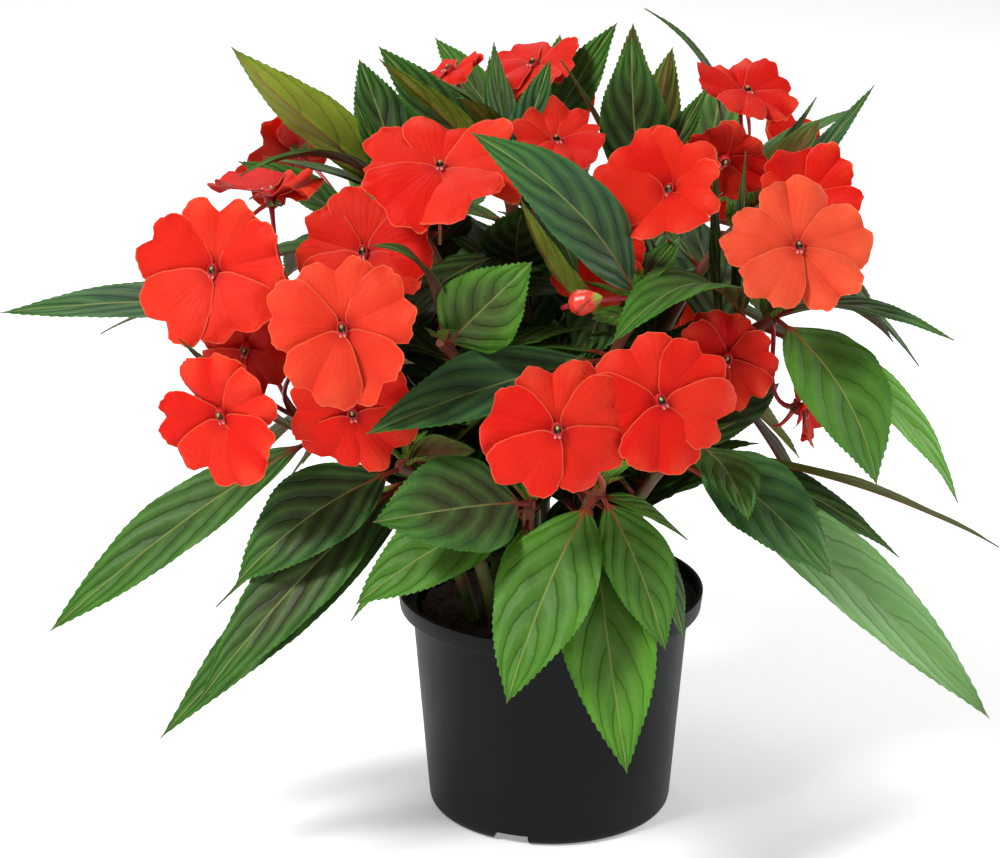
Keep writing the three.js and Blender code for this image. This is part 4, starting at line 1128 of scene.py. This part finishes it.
def is_clear(root, tip):
    """Whether a leaf keeps away from all flowers and buds."""
    return all((root.lerp(tip, t) - bloom["at"]).length > 0.5 * bloom["size"] + BLOOM_ROOM
               for bloom in BLOOMS for t in (0.4, 0.7, 1.0))


def small_leaf(item, kind, turn, draw):
    """A small leaf that grows from the stem at a turn, or nothing where it would be in the way."""
    on = draw.uniform(*kind["on"])
    length = draw.uniform(*kind["length"])
    slope = math.radians(draw.uniform(*kind["slope"]))
    level = math.cos(slope)
    way = Vector((math.cos(turn) * level, math.sin(turn) * level, math.sin(slope)))
    root = stem_point(item, on)
    tip = root + way * length
    if (kind["shaded"] and not is_shaded(tip)) or not is_clear(root, tip):
        return None
    width = length * draw.uniform(*kind["width"])
    arch = [length * share for share in SMALL_ARCH]
    return leaf(on, tip, width, arch, (way.x * -0.3, way.y * -0.3, 1), draw.choice(kind["looks"]))


def small_leaves(item, draw):
    """The small leaves of a stem, each turned on from the last by the spiral in which leaves grow."""
    made = []
    turn = draw.uniform(0, 2 * math.pi)
    for kind in SMALL_LEAVES:
        for _ in range(kind["count"]):
            for _ in range(SMALL_TRIES):
                turn += LEAF_SPIRAL
                blade = small_leaf(item, kind, turn, draw)
                if blade:
                    made.append(blade)
                    break
    return made


LEAF_BLADES = leaf_tree()
BLOOMS = [bloom for item in STEMS.values() for bloom in (*item["flowers"], *item["buds"])]
draw = random.Random(5)
small_draw = random.Random(31)
for name, item in STEMS.items():
    points, widths = [], []
    for k in range(STEM_STEPS + 1):
        t = k / STEM_STEPS
        points.append(stem_point(item, t))
        widths.append(taper(STEM_RADII, t) * leaf_scars(t, item["leaves"]))
    lines = []
    backs = [(bloom, FLOWER_BACK) for bloom in item["flowers"]] + [(bud, BUD_BACK) for bud in item["buds"]]
    for bloom, back in backs:
        route = arc_points(stalk_handles(item, bloom, back), STALK_STEPS)
        shares = [k / STALK_STEPS for k in range(STALK_STEPS + 1)]
        thick = [taper(STALK_RADII, t) + STALK_FLARE * t ** 12 for t in shares]
        lines.append((route, thick, draw.random()))
    small = small_leaves(item, small_draw)
    meshes = [leaf_mesh("blades", item, item["leaves"], LEAF_ROWS, LEAF_AROUND, draw),
              leaf_mesh("small_blades", item, small, SMALL_ROWS, SMALL_AROUND, small_draw),
              tubes("shoot", [(points, widths, 0)], STEM_SIDES, stem_skin)]
    if lines:
        meshes.append(tubes("stalks", lines, STALK_SIDES, flower_stalk))
    shoot = joined(f"shoot_{name}", meshes)
    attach(shoot, "root")
    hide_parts(f"leafy_stem_{name}")

# The flowers: five broad soft petals that overlap in layers round a small dark throat, most with a notch in
# the waved edge. A short column and a pink lip stand in the throat, two small sepals lie behind, and a thin
# curved spur hangs at the back.
PETALS = [
    {"turn": 0, "layer": -1, "length": 0.94, "width": 1.14},
    {"turn": 72, "layer": 0, "length": 1, "width": 1},
    {"turn": -72, "layer": 0, "length": 1, "width": 1},
    {"turn": 144, "layer": 1, "length": 1, "width": 1.06},
    {"turn": -144, "layer": 2, "length": 1, "width": 1.06},
]
PETAL_LAYER_GAP = 1.4
PETAL_THICKNESS = 0.4
PETAL_HALF_SHARE = 0.6
PETAL_MESH = (52, 14)
PETAL_MIDDLE = 0.6
PETAL_WELD = 0.01
PETAL_DOME = 2.9
NOTCH_DEPTH = 0.17
RUFFLE = 3.3
SEPAL_MESH = (20, 8)
SEPAL_RUFFLE = 0.3
SEPALS = [
    {"turn": 62, "layer": -2.6, "length": 0.25, "width": 1.0},
    {"turn": -62, "layer": -2.6, "length": 0.25, "width": 1.0},
]
THROAT_PROFILE = [(0, -4.2), (1.0, -4.2, 0.3), (1.7, -2.6, 0.5), (2.0, -1.0, 0.6), (2.1, 3.0, 0.5),
                  (1.7, 3.6, 0.2), (1.4, 3.3, 0.3), (0.9, 2.0, 0.4), (0, 1.8)]
THROAT_STRETCH = 1.4
THROAT_SIDES = 18
COLUMN = [((0, 1.2, 0.4), 0.55), ((0, 1.3, 2.2), 0.6), ((0, 1.1, 3.5), 0.65), ((0, 0.6, 4.2), 0.6),
          ((0, 0.2, 4.3), 0.3)]
LIP = [((0.4, -1.6, 3.0), 0.5), ((0.7, -2.4, 3.5), 0.75), ((0.9, -3.2, 3.5), 0.4)]
SPUR_START = Vector((0, -1, -2.5))
SPUR_BEND = Vector((0, -11, -7))
SPUR_STEPS = 14
SPUR_SIDES = 9
SPUR_RADII = (1.1, 0.45)
SPUR_BULB = 0.2
COLUMN_SIDES = 8


def petal_tree():
    """A petal on every point, by the point's own turn, layer, length and half width."""
    tree, given, result = new_tree(
        "petals", Segments=PETAL_MESH[0], Rings=PETAL_MESH[1], Thickness=1.0, Layer_gap=1.0, Notch=0.1,
        Dome=1.0, Ruffle=1.0, Material="NodeSocketMaterial")
    disc = place_node(tree, "GeometryNodeMeshUVSphere", {
        "Segments": given["Segments"], "Rings": given["Rings"], "Radius": 1.0})
    x, y, z = split(place_node(tree, "GeometryNodeInputPosition"))
    disc = keep(disc, "turn_from_root", x.of("arctan2", y * -1))
    latitude = z.of("minimum", 1.0).of("maximum", -1.0).of("arcsine").of("absolute")
    disc = keep(disc, "outward", 1 - latitude * (2 / math.pi))
    disc = keep(disc, "layer_side", z.of("sign") * z.of("absolute").rise(0.0, 0.02))
    petals = place_node(tree, "GeometryNodeInstanceOnPoints", {"Points": given["Geometry"], "Instance": disc})
    petals = place_node(tree, "GeometryNodeRealizeInstances", {"Geometry": petals})
    number = {name: attribute(tree, name) for name in (
        "turn", "layer", "length", "half", "seed", "tilt", "lean", "curl",
        "turn_from_root", "outward", "layer_side")}
    swing, outward = number["turn_from_root"], number["outward"]
    step = swing.of("absolute")
    side = swing.of("sign") * step.rise(0.0, 0.001) * (1 - step.rise(3.141, 3.1415))

    # The rim, from the petal's root round to its end, uneven and with a notch, and the place inside it
    reach = 0.53 - 0.47 * step.of("cosine")
    spread = step.of("sine").of("absolute") ** 0.8 * (0.52 + 0.52 * reach.rise(0.0, 0.8))
    round_rim = place_node(tree, "ShaderNodeCombineXYZ", {
        "X": swing.of("cosine") * 1.5, "Y": swing.of("sine") * 1.5, "Z": number["seed"] * 9})
    rag = noise(tree, round_rim, 1.6, 2, 0.6) - 0.5
    lopsided = side * ((number["seed"] * 17).of("fract") - 0.5) * 0.3
    notch = ((spread / 0.25) ** 2 * -1).of("exponent") * reach.rise(0.6, 0.9) * given["Notch"]
    rim_w = side * number["half"] * spread * (1 + 0.3 * rag + lopsided)
    notch = notch * (0.2 + 1.2 * number["seed"])
    rim_r = number["length"] * (reach * (1 + 0.22 * rag + 0.3 * lopsided) - notch)
    w = rim_w * outward
    r = number["length"] * PETAL_MIDDLE * (1 - outward) + rim_r * outward
    far = r / number["length"]
    wide = w / number["half"]

    # The height: a petal falls away outwards, swells on both sides of its middle line, and waves and curls
    fall = 0.1 * r - (r * r + w * w) * 4.5
    fullness = 0.25 + 0.95 * (number["seed"] * 31).of("fract")
    dome = (1 - ((wide.of("absolute") - 0.5) / 0.5) ** 2).of("maximum", -1.0) * far ** 1.2 * fullness
    petals = keep(petals, "crest", dome)
    curl = number["curl"] * number["length"] * (far - 0.5).of("maximum", 0.0) ** 2
    field = place_node(tree, "ShaderNodeCombineXYZ", {"X": w * 75, "Y": r * 75, "Z": number["seed"] * 20})
    soft = noise(tree, field, 0.9, 1) - 0.5
    fast = noise(tree, field, 2.6, 1) - 0.5
    ruffle = (soft * outward.of("power", 1.1) + fast * outward.of("power", 3.5) * 0.5) * given["Ruffle"] * 2.6
    height = number["layer"] * given["Layer gap"] + fall + given["Dome"] * dome + curl
    height = height + ruffle * far + number["tilt"] * r + number["lean"] * w * far
    height = height + number["layer_side"] * given["Thickness"] * 0.5 * (1 - outward ** 6)
    petals = keep(petals, "spread", place_node(tree, "ShaderNodeCombineXYZ", {
        "X": w / MM, "Y": r / MM, "Z": outward}))
    place = place_node(tree, "ShaderNodeCombineXYZ", {"X": w, "Y": r, "Z": height})
    place = place_node(tree, "ShaderNodeVectorRotate", {
        "Vector": place, "Axis": (0, 0, 1), "Angle": number["turn"] * -1})
    petals = place_node(tree, "GeometryNodeSetPosition", {"Geometry": petals, "Position": place})
    petals = place_node(tree, "GeometryNodeMergeByDistance", {
        "Geometry": petals, "Distance": PETAL_WELD * MM})
    dressed(smoothed(petals, 1.3), given["Material"], result)
    return tree


# The velvet of a petal: fine veins that fan out from its root, and soft clouds of deeper and paler colour
VELVET, given, out = shader_group("petal_velvet", {"Spread": "Vector", "Place": "Vector"},
                                  {"Veins": "Float", "Clouds": "Float", "Rim": "Float", "Core": "Float"})
w, r, outward = split(given["Spread"])
fan = w.of("arctan2", r + 3)
waver = noise(VELVET, given["Place"], 140.0, 2)
lines = ((fan * 46) + waver * 5).of("sine")
plug(VELVET, lines.rise(0.1, 1.0) * r.rise(3.0, 12.0) * (1 - outward.rise(0.86, 1.0)), out["Veins"])
plug(VELVET, noise(VELVET, given["Place"], 55.0, 3), out["Clouds"])
plug(VELVET, outward.rise(0.955, 0.995), out["Rim"])
plug(VELVET, 1 - (w * w + r * r).of("sqrt").rise(2.0, 9.0), out["Core"])

petal_skin, tree, shader = new_material("petal_skin", Subsurface_Weight=0.1, Subsurface_Scale=0.002,
                                        Specular_IOR_Level=0.1)
spread = carried(tree, "spread", "Vector")
tone_and_shade, own, crest = [carried(tree, name) for name in ("tone_and_shade", "seed", "crest")]
veins, clouds, rim, core = use_group(tree, VELVET, {"Spread": spread, "Place": object_place(tree)},
                                     ("Veins", "Clouds", "Rim", "Core"))
# Each flower's deep red to orange by its tone, where the deepest reds of flowers that stand in shade are
# painted shade
red = layered(
    mix_colour(tone_and_shade.rise(0.0, 0.6), (0.44, 0.002, 0.002), (0.76, 0.015, 0.005)),
    (tone_and_shade.rise(0.5, 1.1), (0.86, 0.120, 0.045)),
    # Painted shade where each petal's domes fall away into its folds, then a painted highlight on the domes
    ((1 - crest).of("minimum", 1.0) * 0.3, (0.54, 0.003, 0.003)),
    (crest.rise(0.3, 1.0) * 0.34, (0.88, 0.120, 0.046)),
    (own.rise(0.3, 1.0) * 0.25, (0.86, 0.080, 0.030)),
    (clouds.rise(0.3, 0.75) * 0.3, (0.72, 0.010, 0.005)),
    (veins * 0.03, (0.38, 0.003, 0.005)),
    # Darker towards the throat: partly the petal's own deeper red there and partly painted shade round the
    # throat
    (core * 0.5, (0.34, 0.002, 0.006)),
    (rim * 0.4, (0.92, 0.22, 0.10)))
plug(tree, red, shader.inputs["Base Color"])
plug(tree, 0.5 + 0.14 * clouds, shader.inputs["Roughness"])
bump(tree, shader, clouds - veins * 0.08, 0.0013, 0.6)
sepal_skin, tree, shader = new_material("sepal_skin", roughness=0.5)
spread = carried(tree, "spread", "Vector")
clouds, rim = use_group(tree, VELVET, {"Spread": spread, "Place": object_place(tree)}, ("Clouds", "Rim"))
green = mix_colour(clouds, (0.10, 0.19, 0.03), (0.22, 0.16, 0.04))
plug(tree, mix_colour(rim, green, (0.35, 0.05, 0.03)), shader.inputs["Base Color"])
throat_skin, tree, shader = new_material("throat_skin", roughness=0.55)
at = carried(tree, "own_place", "Vector")
ax, ay, az = split(at)
radius = (ax * ax + (ay / THROAT_STRETCH) ** 2).of("sqrt")
mouth = (1 - radius.rise(1.1, 1.7)) * az.rise(-3.0, -1.0)
fleck = noise(tree, at, 1.1, 3)
outer = mix_colour(az.rise(-3.5, -0.5), (0.35, 0.09, 0.03), (0.52, 0.008, 0.014))
outer = mix_colour((ay * -1).rise(1.0, 2.6) * az.rise(2.0, 3.4), outer, (0.55, 0.05, 0.09))
hollow = mix_colour(fleck, (0.022, 0.034, 0.008), (0.085, 0.050, 0.016))
plug(tree, mix_colour(mouth, outer, hollow), shader.inputs["Base Color"])
column_skin, tree, shader = new_material("column_skin", roughness=0.5, Subsurface_Weight=0.1,
                                         Subsurface_Scale=0.001)
reach = carried(tree, "reach")
fleck = noise(tree, object_place(tree), 1500, 2)
mark = carried(tree, "mark")
cream = mix_colour(fleck.rise(0.4, 0.6), (0.30, 0.20, 0.06), (0.55, 0.42, 0.18))
nub = mix_colour(reach.rise(0.35, 0.6), (0.10, 0.15, 0.02), cream)
pink = mix_colour(reach.rise(0.2, 1.0), (0.46, 0.015, 0.035), (0.80, 0.26, 0.22))
plug(tree, mix_colour(mark, nub, pink), shader.inputs["Base Color"])
bump(tree, shader, fleck, 0.0002)
spur_skin, tree, shader = new_material("spur_skin", roughness=0.4)
reach = carried(tree, "reach")
fleck = noise(tree, object_place(tree), 500, 2)
red = mix_colour(fleck, (0.50, 0.02, 0.02), (0.70, 0.06, 0.03))
plug(tree, mix_colour(reach.rise(0.7, 1.0), red, (0.30, 0.16, 0.04)), shader.inputs["Base Color"])


def flower_matrix(item):
    """From a flower's own frame, with its face along +Z and its top petal along +Y, to where it looks."""
    right = Vector((0, 0, 1)).cross(item["face"]).normalized()
    top = item["face"].cross(right)
    turn = Matrix((right, top, item["face"])).transposed().to_4x4() @ Matrix.Rotation(
        math.radians(item["spin"]), 4, "Z")
    turn.translation = item["at"] * MM
    return turn


def petal_mesh(name, petals, radius, draw, material, fineness, ruffle, cup=0, slim=1):
    """All petals of a flower as one plain mesh in the flower's own frame."""
    half_share = PETAL_HALF_SHARE * slim
    columns = {
        "turn": [math.radians(petal["turn"] + draw.uniform(-7, 7)) for petal in petals],
        "layer": [float(petal["layer"]) for petal in petals],
        "length": [radius * petal["length"] * draw.uniform(0.94, 1.03) * MM for petal in petals],
        "half": [radius * petal["length"] * half_share * petal["width"] * draw.uniform(0.8, 1.06) * MM
                 for petal in petals],
        "seed": [draw.random() for _ in petals],
        "tilt": [cup + 0.03 * petal["layer"] + draw.uniform(-0.12, 0.12) for petal in petals],
        "lean": [draw.uniform(-0.26, 0.26) for _ in petals],
        "curl": [draw.uniform(-0.9, 0.5) for _ in petals],
    }
    return grown(points_with(name, len(petals), **columns), PETAL_BLADES, Segments=fineness[0],
                 Rings=fineness[1], Thickness=PETAL_THICKNESS * MM, Layer_gap=PETAL_LAYER_GAP * MM,
                 Notch=NOTCH_DEPTH, Dome=PETAL_DOME * MM, Ruffle=ruffle * MM, Material=material)


def mark_all(mesh, name, value):
    """One number on every point of a mesh."""
    layer = mesh.attributes.new(name, "FLOAT", "POINT")
    layer.data.foreach_set("value", [value] * len(mesh.vertices))


PETAL_BLADES = petal_tree()
# How orange some flowers are, by their numbers, from a deep red at 0 to orange at 1. The deepest reds, on
# flowers 14 and 15, are painted shade, as these flowers stand in shade behind others
FLOWER_TONE_AND_SHADE = {9: 0.3, 13: 0.3, 14: 0.0, 15: 0.1, 17: 1.0, 7: 0.5, 4: 0.75, 5: 0.6, 8: 0.35}
TONE_AND_SHADE_ELSE = 0.45
# How far the petals of some flowers rise to a cup, or bend back where it is below 0
CUPPED = {10: 0.62, 6: 0.2, 12: 0.3, 5: 0.12, 18: -0.17, 19: -0.12, 2: 0.0}
# The share of their width that the petals of some flowers keep, with gaps between them
SLIM = {17: 0.84, 1: 0.93, 5: 0.94, 13: 0.85, 9: 0.9, 7: 0.94}
draw = random.Random(23)
flower_number = 0
for item in STEMS.values():
    for bloom in item["flowers"]:
        flower_number += 1
        radius = bloom["size"] / 2
        cup = CUPPED.get(flower_number, draw.uniform(-0.06, 0.16))
        slim = SLIM.get(flower_number, 1)
        petals = petal_mesh("petals", PETALS, radius, draw, petal_skin, PETAL_MESH, RUFFLE, cup, slim)
        mark_all(petals, "tone_and_shade", FLOWER_TONE_AND_SHADE.get(flower_number, TONE_AND_SHADE_ELSE + draw.uniform(-0.12, 0.12)))
        sepals = petal_mesh("sepals", SEPALS, radius, draw, sepal_skin, SEPAL_MESH, SEPAL_RUFFLE)
        throat = turned("throat", rounded(THROAT_PROFILE, 3), THROAT_SIDES)
        throat.transform(Matrix.Diagonal((1, THROAT_STRETCH, 1, 1)))
        own = throat.attributes.new("own_place", "FLOAT_VECTOR", "POINT")
        own.data.foreach_set("vector", [number / MM for vert in throat.vertices for number in vert.co])
        throat.materials.append(throat_skin)
        pieces = [(COLUMN, 1, 0), (LIP, 1, 1), (LIP, -1, 1)]
        lines = [([(x * side, y, z) for (x, y, z), _ in line], [width for _, width in line], mark)
                 for line, side, mark in pieces]
        column = tubes("column", lines, COLUMN_SIDES, column_skin)
        spur_tip = Vector((0, -radius * 0.62, -3 - radius * 0.5))
        shares = [k / SPUR_STEPS for k in range(SPUR_STEPS + 1)]
        route = [bow(SPUR_START, SPUR_BEND, spur_tip, t) for t in shares]
        widths = [taper(SPUR_RADII, t) + SPUR_BULB * t ** 9 for t in shares]
        spur = tubes("spur", [(route, widths, 0)], SPUR_SIDES, spur_skin)
        made = joined(f"bloom_{flower_number:02d}", [petals, sepals, throat, column, spur])
        made.data.transform(flower_matrix(bloom))
        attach(made, "root")
        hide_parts(f"flower_{flower_number:02d}")

# The bud: a pointed drop of soft red petals that are rolled round one another, with a light gloss and a green
# tip. It sits on the end of its own stalk.
BUD_OUTLINE = [(0, 0), (0.24, 0.04), (0.36, 0.3), (0.3, 0.6), (0.12, 0.88), (0, 1)]
BUD_ROWS = 40
BUD_SIDES = 48
BUD_ROLLS = 3
BUD_TWIST = 1.6
FOLD_DEPTH = 0.13
# The widths of each fold's groove and of the painted shade along it
FOLD_WIDTHS = (0.08, 0.06)


def bud_radius(share):
    """The share of a bud's length that its radius is, smoothly along its outline."""
    for (r0, z0), (r1, z1) in zip(BUD_OUTLINE, BUD_OUTLINE[1:]):
        if share <= z1:
            t = (share - z0) / (z1 - z0)
            return r0 + (r1 - r0) * (math.sin(t * math.pi / 2) if z1 < 0.5 else t)
    return 0


bud_skin, tree, shader = new_material("bud_skin", roughness=0.34, Coat_Weight=0.2, Coat_Roughness=0.35)
along, fold_line = carried(tree, "reach"), carried(tree, "fold_line")
streak = noise(tree, object_place(tree), 420, 3)
red = mix_colour(streak, (0.62, 0.012, 0.010), (0.92, 0.075, 0.030))
# Painted shade along the folds between the rolled petals
red = mix_colour(fold_line * 0.6, red, (0.30, 0.004, 0.008))
green_tip = (along + (streak - 0.5) * 0.25).rise(0.7, 0.92)
plug(tree, mix_colour(green_tip, red, (0.28, 0.42, 0.05)), shader.inputs["Base Color"])
bump(tree, shader, streak, 0.0003, 0.6)
bud_number = 0
for item in STEMS.values():
    for bloom in item["buds"]:
        bud_number += 1
        profile = [(bud_radius(k / BUD_ROWS) * bloom["size"], k / BUD_ROWS * bloom["size"])
                   for k in range(BUD_ROWS + 1)]
        profile[0], profile[-1] = (0, 0), (0, bloom["size"])
        mesh = turned("bud", profile, BUD_SIDES, 70)
        reach, folds = [], []
        for vert in mesh.vertices:
            share = vert.co.z / MM / bloom["size"]
            angle = math.atan2(vert.co.y, vert.co.x) + BUD_TWIST * share
            roll = (angle * BUD_ROLLS / (2 * math.pi)) % 1
            groove, shade = [math.exp(-(min(roll, 1 - roll) / width) ** 2) for width in FOLD_WIDTHS]
            swell = 1 - FOLD_DEPTH * groove + 0.05 * roll
            vert.co.x *= swell
            vert.co.y *= swell
            reach.append(share)
            folds.append(shade)
        for label, values in (("reach", reach), ("fold_line", folds)):
            mesh.attributes.new(label, "FLOAT", "POINT").data.foreach_set("value", values)
        mesh.transform(flower_matrix(bloom))
        bud = finished(f"flower_bud_{bud_number:02d}", mesh, [bud_skin])
        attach(bud, "root")
        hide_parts(f"bud_{bud_number:02d}")
